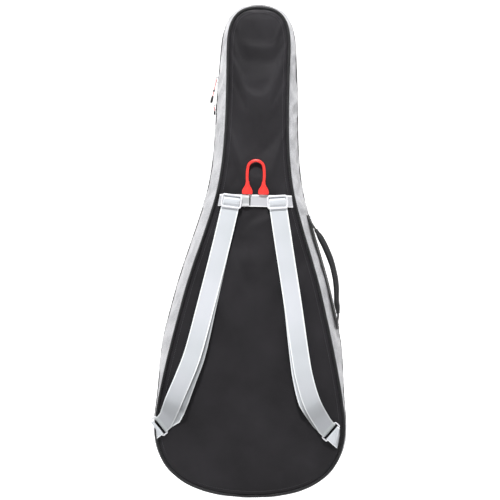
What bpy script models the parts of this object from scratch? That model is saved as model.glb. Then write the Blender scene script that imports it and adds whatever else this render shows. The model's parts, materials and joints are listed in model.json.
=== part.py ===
"""A padded gig bag for a full-size classical guitar, hanging by its loop.

The bag is two padded trays, a back half and a lid, joined by a zipper that runs round three quarters of
the side and by a strip of fabric on the left that hinges the lid. Seen from behind, with +X to the right,
+Y into the bag and +Z up. Heights below are measured from the bag's lowest point; the frame's origin is
under the hang loop's arch, where a peg would carry the bag, and one empty moves everything there.
"""

import math

import bmesh
import bpy
from mathutils import Matrix, Vector
from mathutils.geometry import interpolate_bezier

# ---------------------------------------------------------------- driving dimensions, in metres

# Right half of the back panel's outline: knot, handle towards the head, handle towards the foot.
# Each pair is (distance from the centre line, height).
OUTLINE_KNOTS = [
    ((0, 1.031), None, (0.0470, 1.031)),
    ((0.0642, 0.945), (0.0645, 1.006), (0.0638, 0.900)),
    ((0.0642, 0.790), (0.0630, 0.840), (0.0650, 0.757)),
    ((0.0800, 0.638), (0.0680, 0.690), (0.0938, 0.578)),
    ((0.1400, 0.437), (0.1245, 0.497), (0.158, 0.367)),
    ((0.1975, 0.150), (0.1975, 0.205), (0.1975, 0.070)),
    ((0, 0.006), (0.148, 0.006), None),
]
OUTLINE_STEPS = (5, 1, 2, 4, 3, 6)

PARTING_Y = 0.080  # plane of the main zipper
FRONT_Y = 0.125  # seam of the front panel
BACK_CROWN = 0.006
FRONT_CROWN = 0.008
CROWN_FULL_WIDTH = 0.050  # a panel narrower than this is crowned less
BULGE_FOOT = 0.006  # how far the side stands outside the back panel's seam
BULGE_BODY = 0.022
BULGE_HEAD = 0.011
BULGE_RISE = (0.18, 0.35)  # heights over which the side swells from the foot's bulge to the body's
BULGE_FALL = (0.80, 1.03)  # and over which it draws in to the head's
FRONT_SEAM_BULGE = 0.75  # share of the bulge left at the front panel's seam
# The side's section: depth, and share of the full bulge reached there. The padding and the lining of
# the walls start on a knot, so that their faces bend where the fabric's do.
SIDE_SECTION = [(0, 0), (0.003, 0.04), (0.012, 0.33), (0.016, 0.46), (0.030, 0.78), (0.050, 0.96),
                (0.0725, 1), (0.0875, 1), (0.097, 0.98), (0.109, 0.90), (0.113, 0.86), (0.122, 0.78),
                (0.125, FRONT_SEAM_BULGE)]
FOAM_WALL_START = 0.012
LINING_WALL_START = 0.016
PANEL_COLUMNS = (-1, -0.55, 0, 0.55, 1)  # where a panel's faces bend across it, as shares of its half width

FABRIC = 0.0012
FOAM = 0.0100
LINING = 0.0010
GAP = 0.0003
PIPING_RADIUS = 0.0026
SEAM = 0.0032  # a panel's edge stays this far inside its seam line

ZIP_TAPE_EDGE = 0.0071  # from the parting plane to the tape's sewn edge
ZIP_COIL_EDGE = 0.0014
ZIP_GAP = 0.0002
TAPE_DEPTH = GAP
TAPE = 0.0008
COIL_PROUD = 0.0006  # the coil stands this far out of the skin
COIL = 0.0015
SPINE_LOW, SPINE_HIGH = 0.095, 0.262  # the zipper leaves this stretch of the left side to the hinge
HINGE_CLEARANCE = 0.0015  # from the bag's widest point out to the lid's axis

SLIDER_PLATE = (0.0088, 0.0016, 0.0130)
SLIDER_BRIDGE = (0.0022, 0.0014, 0.0124)
SLIDER_POST = (0.0020, 0.0050, 0.0020)
SLIDER_POST_REACH = 0.0051  # from the bridge's middle to each of the posts that carry it
SLIDER_LIFT = 0.0024  # the plate's middle stands this far off the skin
SLIDER_EYE = 0.0024  # the eye's middle stands this far off the plate's middle
POCKET_SLIDER_PLATE = (0.0130, 0.0016, 0.0088)

PULL_CORD = 0.0280
PULL_CORD_RADIUS = 0.0011
PULL_CORD_SPREAD = 0.0032
PULL_GRIP = 0.0150
PULL_GRIP_WIDTH, PULL_GRIP_THICK = 0.0095, 0.0050
PULL_GRIP_BEVEL = 0.0012
PULL_LEAN = 0.10  # a hanging pull leans off the surface this much
# The main zipper's two sliders: height, pull's cord, pull's grip, lean. The upper slider's long pull
# ends just above the lower slider, whose own pull is short.
UPPER_ZIP = (0.883, 0.0360, 0.0150, 0.24)
LOWER_ZIP = (0.824, 0.0070, 0.0090, 0.10)

ENDPIN_PATCH_Y = (0.024, 0.070)
ENDPIN_PATCH = 0.0015
ENDPIN_PATCH_STATIONS = 3  # the patch reaches this many stations each way from the foot's middle
STRAP_WIDTH = 0.037
WEBBING = 0.0016
BAR_HEIGHT = 0.0250
BAR_LOW = 0.6130
BAR_LEFT, BAR_RIGHT = -0.0762, 0.0780
BAR_SLANT = 0.004
BAR_LIFT = 0.0007 + WEBBING / 2
BAR_STEPS = 8

TRIGLIDE_WIDTH = 0.0440
TRIGLIDE_LENGTH = 0.0285
TRIGLIDE_RAIL = 0.0022
TRIGLIDE_SIDE = 0.0028
TRIGLIDE_EDGE_BAR, TRIGLIDE_MIDDLE_BAR = 0.0042, 0.0050
TRIGLIDE_TUCK = 0.002  # the bars end this much short of the sides' outer faces
TRIGLIDE_PLACE = 0.36  # how far down its strap's first stretch it rests

RING_LENGTH = 0.0420
RING_HEIGHT = 0.0120
RING_WIRE = 0.0014
RING_CORNER = 0.0025
RING_LIFT = 0.0056
RING_DROP = 0.0160  # from the end of the strap's route to the ring's middle
FOLD = RING_WIRE + 0.0005 + WEBBING / 2  # from a ring's wire to the middle of the webbing round it
TAB_SHORTEST = 0.0070
TAB_WIDTH = 0.0240
TAB_FRONT, TAB_BACK = -0.0060, -0.0039  # depths of the tab's two ends at the seam
TAB_SEAM = 0.0070  # the tab is sewn this far inside the panel's edge

LOOP_APEX = 0.7060  # inner top of the hang loop
LOOP_HALF_SPACING = 0.0170
LOOP_CORD_RADIUS = 0.0034
LEAF_HEIGHT = 0.0240
LEAF_WIDTH = 0.0220
LEAF_THICK = 0.0044
LEAF_SHAPE = ((0, 0.96), (0.25, 1.0), (0.5, 0.86), (0.75, 0.52), (1, 0.34))  # up the leaf: share of its width
LEAF_FOOT = BAR_LOW + BAR_HEIGHT + 2 * GAP
LOOP_CLEARANCE = 0.0011  # from the panel to the hanging cord
LOOP_HINGE_LIFT = 0.0045

HANDLE_HIGH, HANDLE_LOW = 0.5650, 0.3900
HANDLE_Y = 0.0370
HANDLE_STANDOFF = 0.0240
HANDLE_GRIP_WIDTH = 0.0250
HANDLE_GRIP_THICK = 0.0110
HANDLE_GRIP_BEVEL = 0.0032
HANDLE_END_LIFT = 0.0100  # the grip's ends stand this far off the side
HANDLE_NARROW = 0.62  # share of its width the grip has at its ends
HANDLE_STEPS = 8
HANDLE_STRIP_WIDTH = 0.0250
HANDLE_STRIP_MARGIN = 0.030  # the strip runs on past the grip by this much
HANDLE_STRIP_LIFT = 0.0008 + WEBBING / 2
HANDLE_FOOT = 0.024  # the sewn ends reach this far past the grip
HANDLE_FOOT_LIFT = 0.0037
HANDLE_HINGE_LIFT = 0.0042
HANDLE_TAB_WIDTHS = [0.015, 0.017, 0.020, 0.020]

# Where the two straps lie on the back: distance to the right, height, distance off the panel.
STRAP_ROUTES = {
    "left": [(-0.0470, 0.6360, 0.0082), (-0.0694, 0.5300, 0.0082), (-0.0955, 0.4165, 0.0082),
             (-0.1212, 0.3100, 0.0080), (-0.1395, 0.2570, 0.0080), (-0.1612, 0.2030, 0.0075),
             (-0.1780, 0.1593, 0.0080)],
    "right": [(0.0446, 0.6360, 0.0082), (0.0627, 0.5300, 0.0082), (0.0828, 0.4165, 0.0082),
              (0.1005, 0.3100, 0.0080), (0.1112, 0.2570, 0.0080), (0.1292, 0.2030, 0.0075),
              (0.1573, 0.1555, 0.0080)],
}
STRAP_END_SLOPE = math.radians(50)  # how far the lower rings lean out of level
STRAP_TURN = (0.06, -0.01)  # from the route's end: heights between which the strap turns to the ring's lean
TAIL_SHIFT = {"left": 0.0095, "right": 0.0015}  # the returning layer shows this much on the inner side
TAIL_SPREAD = (0.02, 0.09)  # from the route's end: heights over which it comes out
TAIL_TOP = 0.545
TAIL_LIFT = 0.0031
TAIL_WIDTH = STRAP_WIDTH * 0.96
BACKWARD = Vector((0, -1, 0))

# Pockets on the lid: lowest and highest, inset from the panel's edge, depth, corner radius.
LARGE_POCKET = (0.075, 0.455, 0.030, 0.024, 0.028)
HEAD_POCKET = (0.700, 0.935, 0.016, 0.012, 0.018)
POCKET_ROWS = 9
POCKET_CROWN = 0.005
POCKET_CLEARANCE = 0.0006
POCKET_ZIP_DROP = 0.006  # the zipper lies this far below the rounded corners
POCKET_ZIP_INSET = 0.012
POCKET_ZIP_WIDTH, POCKET_ZIP_THICK = 0.0150, 0.0012
POCKET_ZIP_LIFT, POCKET_SLIDER_LIFT = 0.0011, 0.0040
POCKET_SLIDER_PLACE = 0.55  # share of the zipper's half length, to the side

CRADLE_LOW, CRADLE_HIGH = 0.775, 0.835
CRADLE_BACK, CRADLE_FLOOR, CRADLE_TOP = 0.0132, 0.0280, 0.0400
CRADLE_HALF, CRADLE_LIP, CRADLE_TROUGH = 0.0530, 0.0320, 0.0210
CRADLE_BEVEL = 0.003
NECK_STRAP_WIDTH = 0.0380
NECK_STRAP_LIFT = 0.0016
NECK_STRAP_ARCH = [(0.046, 0.060), (0.026, 0.0735), (0, 0.0760)]  # distance from the middle, depth
NECK_STRAP_END = 0.050

# ---------------------------------------------------------------- scene and materials

for leftover in list(bpy.data.objects):
    bpy.data.objects.remove(leftover, do_unlink=True)

BAG = bpy.data.collections.new("gig_bag")
HELPERS = bpy.data.collections.new("gig_bag_helpers")
bpy.context.scene.collection.children.link(BAG)
bpy.context.scene.collection.children.link(HELPERS)

MATERIALS = {
    "black_nylon": ((0.028, 0.027, 0.030), 0.55, 0.0),
    "gray_heather": ((0.48, 0.48, 0.50), 0.85, 0.0),
    "black_trim": ((0.012, 0.012, 0.013), 0.60, 0.0),
    "foam": ((0.30, 0.31, 0.33), 0.95, 0.0),
    "lining": ((0.16, 0.17, 0.19), 0.80, 0.0),
    "silver_webbing": ((0.66, 0.66, 0.69), 0.45, 0.0),
    "coral_cord": ((0.90, 0.07, 0.05), 0.50, 0.0),
    "gray_plastic": ((0.72, 0.72, 0.73), 0.35, 0.0),
    "black_plastic": ((0.015, 0.015, 0.016), 0.40, 0.0),
    "zip_coil": ((0.020, 0.020, 0.022), 0.40, 0.0),
    "zip_metal": ((0.25, 0.25, 0.27), 0.30, 1.0),
    "cradle_plush": ((0.10, 0.10, 0.12), 0.95, 0.0),
}


def material(name):
    """The Principled material of this name, made on first use."""
    if name in bpy.data.materials:
        return bpy.data.materials[name]
    made = bpy.data.materials.new(name)
    made.use_nodes = True
    colour, roughness, metallic = MATERIALS[name]
    shader = made.node_tree.nodes["Principled BSDF"]
    shader.inputs["Base Color"].default_value = (*colour, 1)
    shader.inputs["Roughness"].default_value = roughness
    shader.inputs["Metallic"].default_value = metallic
    made.diffuse_color = (*colour, 1)
    return made


PLACES = {}  # where each empty stands, in the bag's own coordinates


def empty(name, place, parent=None):
    """An empty at this place; the pieces of a moving body hang on one that stands on its joint's axis."""
    made = bpy.data.objects.new(name, None)
    made.location = Vector(place) - PLACES.get(parent, Vector())
    made.parent = parent
    PLACES[made] = Vector(place)
    BAG.objects.link(made)
    return made


def add_object(name, data, material_name, parent=None, collection=None):
    """Links data, given in the bag's own coordinates, as an object whose origin is at its parent's."""
    parent = parent or BAG_FRAME
    data.transform(Matrix.Translation(-PLACES[parent]))
    data.materials.append(material(material_name))
    made = bpy.data.objects.new(name, data)
    made.parent = parent
    (collection or BAG).objects.link(made)
    return made


def mesh_from(bm, name, smooth_angle=40):
    bmesh.ops.recalc_face_normals(bm, faces=bm.faces)
    mesh = bpy.data.meshes.new(name)
    bm.to_mesh(mesh)
    bm.free()
    mesh.shade_smooth()
    mesh.set_sharp_from_angle(angle=math.radians(smooth_angle))
    return mesh


# ---------------------------------------------------------------- the bag's shape as functions


def right_outline():
    """Points down the right side, from the middle of the head to the middle of the foot."""
    points = []
    for (knot, _, leave), (next_knot, arrive, _), steps in zip(
        OUTLINE_KNOTS, OUTLINE_KNOTS[1:], OUTLINE_STEPS
    ):
        handles = [Vector((*pair, 0)) for pair in (knot, leave, arrive, next_knot)]
        curve = interpolate_bezier(*handles, steps + 1)
        points += [point.to_2d() for point in curve[:-1]]
    return points + [Vector(OUTLINE_KNOTS[-1][0])]


RIGHT = right_outline()
FOOT = len(RIGHT) - 1  # station at the middle of the foot; station 0 is the middle of the head
STATIONS = RIGHT + [Vector((-point.x, point.y)) for point in RIGHT[-2:0:-1]]
COUNT = len(STATIONS)


def outward(station):
    before, after = STATIONS[station - 1], STATIONS[(station + 1) % COUNT]
    along = (after - before).normalized()
    return Vector((-along.y, along.x))


NORMALS = [outward(station) for station in range(COUNT)]


def smoothstep(low, high, value):
    t = min(1, max(0, (value - low) / (high - low)))
    return t * t * (3 - 2 * t)


def bulge(height):
    """How far the side's outer skin stands outside the back panel's seam at this height."""
    body = BULGE_FOOT + (BULGE_BODY - BULGE_FOOT) * smoothstep(*BULGE_RISE, height)
    return body + (BULGE_HEAD - BULGE_BODY) * smoothstep(*BULGE_FALL, height)


def side_share(y):
    for (y0, share0), (y1, share1) in zip(SIDE_SECTION, SIDE_SECTION[1:]):
        if y <= y1:
            return share0 + (share1 - share0) * (y - y0) / (y1 - y0)
    return SIDE_SECTION[-1][1]


def skin(station, y):
    """The outer skin's distance outside the back seam line."""
    return bulge(STATIONS[station].y) * side_share(y)


def at(station, offset, y):
    """The point at this distance outside the back seam line."""
    point = STATIONS[station] + NORMALS[station] * offset
    return Vector((point.x, y, point.y))


def half_width(height, offset=0.0, bulge_share=0.0):
    """Half the bag's width at this height, this far outside the back seam line."""
    edge = [STATIONS[s] + NORMALS[s] * (offset + bulge_share * bulge(STATIONS[s].y))
            for s in range(FOOT + 1)]
    for upper, lower in zip(edge, edge[1:]):
        if lower.y <= height <= upper.y:
            return lower.x + (upper.x - lower.x) * (height - lower.y) / (upper.y - lower.y)
    return 0.0


def crown_at(x, half, full):
    share = min(1, abs(x) / half) if half else 1
    return full * (1 - share * share) * min(1, half / CROWN_FULL_WIDTH)


def back_surface(x, height):
    """The outside of the back panel, as a depth: it is crowned away from the bag."""
    return -FABRIC / 2 - crown_at(x, half_width(height, -SEAM), BACK_CROWN)


def front_surface(x, height):
    return FRONT_Y + FABRIC / 2 + crown_at(x, half_width(height, -SEAM, FRONT_SEAM_BULGE), FRONT_CROWN)


# ---------------------------------------------------------------- builders


def split_quad(bm, corners, rising):
    """Two triangles, so that layers lying on each other bend along the same diagonal."""
    a, b, c, d = corners
    for triangle in ((a, b, c), (a, c, d)) if rising else ((a, b, d), (b, c, d)):
        if len(set(triangle)) == 3:
            bm.faces.new(triangle)


def loft(sections, closed=False):
    """A tube through rings of equal length, closed on itself or capped at both ends.

    The second half of each ring runs back along the first, as the inside of a wall does.
    """
    bm = bmesh.new()
    rings = [[bm.verts.new(point) for point in section] for section in sections]
    size = len(rings[0])
    pairs = list(zip(rings, rings[1:])) + ([(rings[-1], rings[0])] if closed else [])
    for ring, following in pairs:
        for i in range(size):
            j = (i + 1) % size
            split_quad(bm, (ring[i], ring[j], following[j], following[i]), i < size / 2 - 0.5)
    if not closed:
        bm.faces.new(rings[0][::-1])
        bm.faces.new(rings[-1])
    return bm


def side_layer(name, material_name, y_range, depth, thickness, stations=None, parent=None):
    """A layer of the side wall: depth inside the outer skin, over a range of Y and of stations."""
    low, high = y_range
    rows = [low] + [y for y, _ in SIDE_SECTION if low + 0.001 < y < high - 0.001] + [high]
    sections = []
    for station in stations or range(COUNT):
        outer = [at(station, skin(station, y) - depth, y) for y in rows]
        inner = [at(station, skin(station, y) - depth - thickness, y) for y in reversed(rows)]
        sections.append(outer + inner)
    bm = loft(sections, closed=stations is None)
    return add_object(name, mesh_from(bm, name), material_name, parent)


def plate(rows, surface, thickness):
    """A plate on rows of (left point, right point), each row running across and closed at the ends."""
    bm = bmesh.new()
    sides = []
    for shift in (0, thickness):
        grid = []
        for left, right in rows:
            middle, reach = (left + right) / 2, (right - left) / 2
            if reach.length < 1e-6:
                grid.append([bm.verts.new((middle.x, surface(0, reach.length) + shift, middle.y))])
                continue
            row = []
            for column in PANEL_COLUMNS:
                point = middle + reach * column
                depth = surface(column * reach.length, reach.length) + shift
                row.append(bm.verts.new((point.x, depth, point.y)))
            grid.append(row)
        for above, below in zip(grid, grid[1:]):
            for i in range(len(PANEL_COLUMNS) - 1):
                corners = [above[min(i, len(above) - 1)], above[min(i + 1, len(above) - 1)],
                           below[min(i + 1, len(below) - 1)], below[min(i, len(below) - 1)]]
                split_quad(bm, corners, i < len(PANEL_COLUMNS) // 2)
        sides.append(grid)
    outlines = []
    for grid in sides:
        down = [row[-1] for row in grid]
        up = [row[0] for row in reversed(grid)]
        across_foot = list(reversed(grid[-1][1:-1])) if len(grid[-1]) > 1 else []
        across_head = grid[0][1:-1] if len(grid[0]) > 1 else []
        outlines.append(list(dict.fromkeys(down + across_foot + up + across_head)))
    first, second = outlines
    for i in range(len(first)):
        j = (i + 1) % len(first)
        bm.faces.new((first[i], first[j], second[j], second[i]))
    return bm


def panel_rows(offset_of):
    """Rows across the bag at every station, with its edges at offset_of(station)."""
    rows = []
    for station in range(FOOT + 1):
        right = STATIONS[station] + NORMALS[station] * offset_of(station)
        rows.append((Vector((-right.x, right.y)), right))
    return rows


def panel_layer(name, material_name, y, thickness, offset_of, crown, parent=None):
    """A layer of the back or front panel, with its outer face at depth y on the seam."""

    def surface(x, half):
        return y + math.copysign(crown_at(x, half, abs(crown)), crown)

    bm = plate(panel_rows(offset_of), surface, thickness)
    return add_object(name, mesh_from(bm, name), material_name, parent)


def ribbon(name, material_name, path, across, width, thickness, parent=None):
    """Flat webbing along a path; across is one direction, or one for each point."""
    count = len(path)
    directions = across if isinstance(across, list) else [across] * count
    widths = width if isinstance(width, list) else [width] * count
    sections = []
    for i, point in enumerate(path):
        along = (path[min(i + 1, count - 1)] - path[max(i - 1, 0)]).normalized()
        side = directions[i].normalized()
        normal = along.cross(side).normalized()
        half, skew = side * widths[i] / 2, normal * thickness / 2
        sections.append([point - half - skew, point + half - skew, point + half + skew, point - half + skew])
    return add_object(name, mesh_from(loft(sections), name), material_name, parent)


def tube(name, material_name, points, radius, cyclic=False, parent=None):
    """A round cord or wire: a curve with a bevel depth, made a mesh and its caps welded."""
    curve = bpy.data.curves.new(name, "CURVE")
    curve.dimensions = "3D"
    curve.bevel_depth = radius
    curve.bevel_resolution = 1
    curve.use_fill_caps = not cyclic
    spline = curve.splines.new("POLY")
    spline.points.add(len(points) - 1)
    for slot, point in zip(spline.points, points):
        slot.co = (*point, 1)
    spline.use_cyclic_u = cyclic
    guide = bpy.data.objects.new(name + "_guide", curve)
    HELPERS.objects.link(guide)
    bpy.context.view_layer.update()
    graph = bpy.context.evaluated_depsgraph_get()
    mesh = bpy.data.meshes.new_from_object(guide.evaluated_get(graph))
    bpy.data.objects.remove(guide, do_unlink=True)
    bm = bmesh.new()
    bm.from_mesh(mesh)
    bpy.data.meshes.remove(mesh)
    bmesh.ops.remove_doubles(bm, verts=bm.verts, dist=1e-6)
    return add_object(name, mesh_from(bm, name, 50), material_name, parent)


def box_mesh(name, size, centre, turn=None):
    bm = bmesh.new()
    bmesh.ops.create_cube(bm, size=1)
    bmesh.ops.scale(bm, vec=size, verts=bm.verts)
    bmesh.ops.translate(bm, vec=centre, verts=bm.verts)
    if turn:
        bmesh.ops.transform(bm, matrix=turn, verts=bm.verts)
    return mesh_from(bm, name)


def joined_boxes(name, material_name, boxes, place, bevel=0.0, parent=None):
    """One body from overlapping boxes of (size, centre), carried to its place by a matrix."""
    base = add_object(name, box_mesh(name, *boxes[0], place), material_name, parent)
    for index, (size, centre) in enumerate(boxes[1:]):
        helper_name = f"{name}_block_{index}"
        helper = add_object(helper_name, box_mesh(helper_name, size, centre, place), material_name,
                            parent, HELPERS)
        helper.hide_render = True
        helper.display_type = "WIRE"
        union = base.modifiers.new(f"join_{index}", "BOOLEAN")
        union.operation = "UNION"
        union.object = helper
    if bevel:
        soften = base.modifiers.new("rounded_edges", "BEVEL")
        soften.width = bevel
        soften.segments = 1
        soften.limit_method = "ANGLE"
    return base


def smooth_path(points, steps):
    """A Catmull-Rom curve through the points, with this many steps in each stretch."""
    padded = [2 * points[0] - points[1], *points, 2 * points[-1] - points[-2]]
    path = []
    for p0, p1, p2, p3 in zip(padded, padded[1:], padded[2:], padded[3:]):
        for step in range(steps):
            t = step / steps
            path.append(0.5 * (2 * p1 + (p2 - p0) * t + (2 * p0 - 5 * p1 + 4 * p2 - p3) * t**2
                               + (3 * p1 - p0 - 3 * p2 + p3) * t**3))
    return path + [points[-1]]


def frame_matrix(place, across, outward_axis):
    """Local X across, local Y out of the surface, local Z along the piece, at this place."""
    x = across.normalized()
    y = (outward_axis - x * outward_axis.dot(x)).normalized()
    z = x.cross(y)
    return Matrix(((x.x, y.x, z.x, place.x), (x.y, y.y, z.y, place.y),
                   (x.z, y.z, z.z, place.z), (0, 0, 0, 1)))


# ---------------------------------------------------------------- the padded halves

LOOP_Y = back_surface(0, LOOP_APEX) - LOOP_CLEARANCE - LOOP_CORD_RADIUS
BAG_FRAME = empty("bag_frame", (0, 0, 0))
BAG_FRAME.location = (0, -LOOP_Y, -LOOP_APEX)
HINGE_X = -max(STATIONS[s].x + bulge(STATIONS[s].y) for s in range(FOOT)) - HINGE_CLEARANCE
LID = empty("lid_axis", (HINGE_X, PARTING_Y, 0), BAG_FRAME)


def padded_half(side, y_seam, y_part, crown, bulge_share, parent=None):
    """Fabric, foam and lining of one half, its piping and its half of the main zipper."""
    into = 1 if y_part > y_seam else -1

    def panel(layer, material_name, depth, thickness, offset_of):
        y = y_seam + into * depth
        panel_layer(f"{side}_panel_{layer}", material_name, y, into * thickness, offset_of, crown, parent)

    def wall(layer, material_name, start, stop, depth, thickness, stations=None):
        ends = sorted((y_seam + into * start, y_part - into * stop))
        side_layer(f"{side}_side_{layer}", material_name, ends, depth, thickness, stations, parent)

    def edge(inset):
        return lambda s: bulge_share * bulge(STATIONS[s].y) - inset

    foam_depth = FABRIC / 2 + GAP
    lining_depth = foam_depth + FOAM + GAP
    lining_inset = FABRIC + FOAM + 3 * GAP

    def lining_edge(s):
        return skin(s, y_seam + into * lining_depth) - lining_inset

    panel("fabric", "black_nylon", -FABRIC / 2, FABRIC, edge(SEAM))
    panel("foam", "foam", foam_depth, FOAM, edge(SEAM + GAP))
    panel("lining", "lining", lining_depth + GAP, LINING, lambda s: lining_edge(s) - GAP)
    wall("fabric", "gray_heather", PIPING_RADIUS + 2 * GAP, ZIP_TAPE_EDGE + 2 * GAP, 0, FABRIC)
    wall("foam", "foam", FOAM_WALL_START, 2 * GAP, FABRIC + GAP, FOAM)
    wall("lining", "lining", LINING_WALL_START, 2 * GAP, lining_inset, LINING)
    seam = [at(s, bulge_share * bulge(STATIONS[s].y), y_seam) for s in range(COUNT)]
    tube(f"{side}_piping", "black_trim", seam, PIPING_RADIUS, cyclic=True, parent=parent)


padded_half("back", 0.0, PARTING_Y, -BACK_CROWN, 0.0)
padded_half("front", FRONT_Y, PARTING_Y, FRONT_CROWN, FRONT_SEAM_BULGE, LID)


# ---------------------------------------------------------------- main zipper and fabric hinge


def stations_between(low, high):
    """Stations on the left side from the lower height to the higher one."""
    return [s for s in range(FOOT + 1, COUNT) if low <= STATIONS[s].y <= high]


SPINE = stations_between(SPINE_LOW, SPINE_HIGH)
ZIPPED = list(range(SPINE[-1] + 1, COUNT)) + list(range(0, SPINE[0]))


def main_zip(side, sign, parent=None):
    """One half of the zipper: the tape sewn in the side and the coil along its edge."""
    near, far = PARTING_Y + sign * (ZIP_COIL_EDGE + GAP), PARTING_Y + sign * ZIP_TAPE_EDGE
    side_layer(f"zip_tape_{side}", "black_trim", sorted((near, far)), TAPE_DEPTH, TAPE, ZIPPED, parent)
    near, far = PARTING_Y + sign * ZIP_GAP, PARTING_Y + sign * ZIP_COIL_EDGE
    side_layer(f"zip_coil_{side}", "zip_coil", sorted((near, far)), -COIL_PROUD, COIL, ZIPPED, parent)


main_zip("back", -1)
main_zip("front", 1, LID)
side_layer("spine_fabric", "black_trim", (PARTING_Y - ZIP_TAPE_EDGE, PARTING_Y + ZIP_TAPE_EDGE),
           TAPE_DEPTH, TAPE, SPINE)
side_layer("endpin_patch", "black_nylon", ENDPIN_PATCH_Y, FABRIC + FOAM + LINING + 4 * GAP, ENDPIN_PATCH,
           range(FOOT - ENDPIN_PATCH_STATIONS, FOOT + ENDPIN_PATCH_STATIONS + 1))


def zip_slider(name, place, across, out, parent, size=SLIDER_PLATE):
    """A slider over the coil with a bridge that holds its pull: local Y out, the pull's cord along X."""
    boxes = [(size, (0, 0, 0)), (SLIDER_BRIDGE, (0, 2 * SLIDER_EYE, 0))]
    boxes += [(SLIDER_POST, (0, SLIDER_EYE + 0.0002, sign * SLIDER_POST_REACH)) for sign in (-1, 1)]
    return joined_boxes(name, "zip_metal", boxes, frame_matrix(place, across, out), parent=parent)


def cord_pull(label, eye, out, parent, cord=PULL_CORD, grip=PULL_GRIP, lean=PULL_LEAN):
    """A doubled cord through a slider's eye, and the grip moulded on its end."""
    side = out.cross(Vector((0, 0, 1))).normalized()
    down = (Vector((0, 0, -1)) + out * lean).normalized()
    strands = [[eye + side * sign * PULL_CORD_SPREAD + down * reach
                for reach in (cord, cord / 2, cord / 6, 0)] for sign in (-1, 1)]
    tube(f"{label}_pull_cord", "coral_cord", strands[0] + strands[1][::-1], PULL_CORD_RADIUS, parent=parent)
    middle = eye + down * (cord + GAP + grip / 2)
    size = (PULL_GRIP_WIDTH, PULL_GRIP_THICK, grip)
    joined_boxes(f"{label}_pull_grip", "black_plastic", [(size, (0, 0, 0))],
                 frame_matrix(middle, side, out), PULL_GRIP_BEVEL, parent)


def main_slider(label, height, *pull):
    """A slider on the left of the neck, with the cord and moulded grip that hang from it."""
    station = next(s for s in range(FOOT + 1, COUNT) if STATIONS[s].y > height)
    above, below = (at(s, skin(s, PARTING_Y), PARTING_Y) for s in (station, station - 1))
    along = (above - below).normalized()
    out = Vector((-along.z, 0, along.x))
    place = below + along * (height - below.z) / along.z + out * SLIDER_LIFT
    slider = empty(f"{label}_slider_place", place, BAG_FRAME)
    zip_slider(f"{label}_slider", place, Vector((0, 1, 0)), out, slider)
    eye = place + out * SLIDER_EYE
    cord_pull(label, eye, out, empty(f"{label}_pull_axis", eye, slider), *pull)


main_slider("upper_zip", *UPPER_ZIP)
main_slider("lower_zip", *LOWER_ZIP)


# ---------------------------------------------------------------- shoulder straps and what holds them


def on_back(x, height, lift):
    """The point this far off the back panel."""
    return Vector((x, back_surface(x, height) - lift, height))


def strap_bar():
    """Webbing sewn across the back, with slanted ends, which carries the straps and the loop."""
    centre = BAR_LOW + BAR_HEIGHT / 2
    path, across = [], []
    for i in range(BAR_STEPS + 1):
        share = i / BAR_STEPS
        x = BAR_LEFT + (BAR_RIGHT - BAR_LEFT) * share
        path.append(on_back(x, centre, BAR_LIFT))
        across.append(Vector((BAR_SLANT * (1 - 2 * share), 0, BAR_HEIGHT)))
    ribbon("strap_bar", "silver_webbing", path, across, BAR_HEIGHT, WEBBING)


def strap(side):
    """A strap from the bar to its ring and round it, the layer that returns, ring, tab and tri-glide."""
    inward = 1 if side == "left" else -1
    lean = Vector((math.cos(STRAP_END_SLOPE), 0, -inward * math.sin(STRAP_END_SLOPE)))
    up = Vector((inward * math.sin(STRAP_END_SLOPE), 0, math.cos(STRAP_END_SLOPE)))
    route = STRAP_ROUTES[side]
    ring_at = on_back(route[-1][0], route[-1][1], RING_LIFT) - up * RING_DROP
    upper_wire, lower_wire = ring_at + up * RING_HEIGHT / 2, ring_at - up * RING_HEIGHT / 2

    lying = smooth_path([on_back(*point) for point in route], 3)
    start = upper_wire + BACKWARD * FOLD
    path = lying[:-1] + [lying[-1].lerp(start, 0.45), start]
    across = []
    for i, point in enumerate(path):
        along = path[min(i + 1, len(path) - 1)] - path[max(i - 1, 0)]
        level = Vector((-along.z, 0, along.x)).normalized()
        share = smoothstep(*(route[-1][1] + step for step in STRAP_TURN), point.z)
        across.append(level.lerp(lean, share))
    for turn in range(1, 5):
        angle = math.pi * turn / 4
        path.append(upper_wire + BACKWARD * FOLD * math.cos(angle) - up * FOLD * math.sin(angle))
        across.append(lean)
    path.append(path[-1] + up * 0.010)
    across.append(lean)
    strap_axis = empty(f"{side}_strap_axis", lying[0] - across[0] * inward * TRIGLIDE_WIDTH / 2, BAG_FRAME)
    ribbon(f"shoulder_strap_{side}", "silver_webbing", path, across, STRAP_WIDTH, WEBBING, strap_axis)

    tail_end = next(i for i, point in enumerate(lying) if point.z < TAIL_TOP)
    tail, tail_across = [path[-1] + up * 0.0012, path[-1] + up * 0.010], [lean, lean]
    for i in range(len(lying) - 2, tail_end, -1):
        point = lying[i]
        share = smoothstep(*(route[-1][1] + step for step in TAIL_SPREAD), point.z)
        tail.append(on_back(point.x + inward * TAIL_SHIFT[side] * share, point.z, TAIL_LIFT))
        tail_across.append(across[i])
    ribbon(f"strap_tail_{side}", "silver_webbing", tail, tail_across, TAIL_WIDTH, WEBBING, strap_axis)

    ring_axis = empty(f"{side}_ring_axis", lower_wire, BAG_FRAME)
    wire_corners = rounded_loop(ring_at, lean, up, RING_LENGTH / 2, RING_HEIGHT / 2, RING_CORNER)
    tube(f"strap_ring_{side}", "gray_plastic", wire_corners, RING_WIRE, True, ring_axis)
    strap_tab(side, lower_wire, lean, up)
    triglide(side, lying, across, strap_axis)


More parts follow.
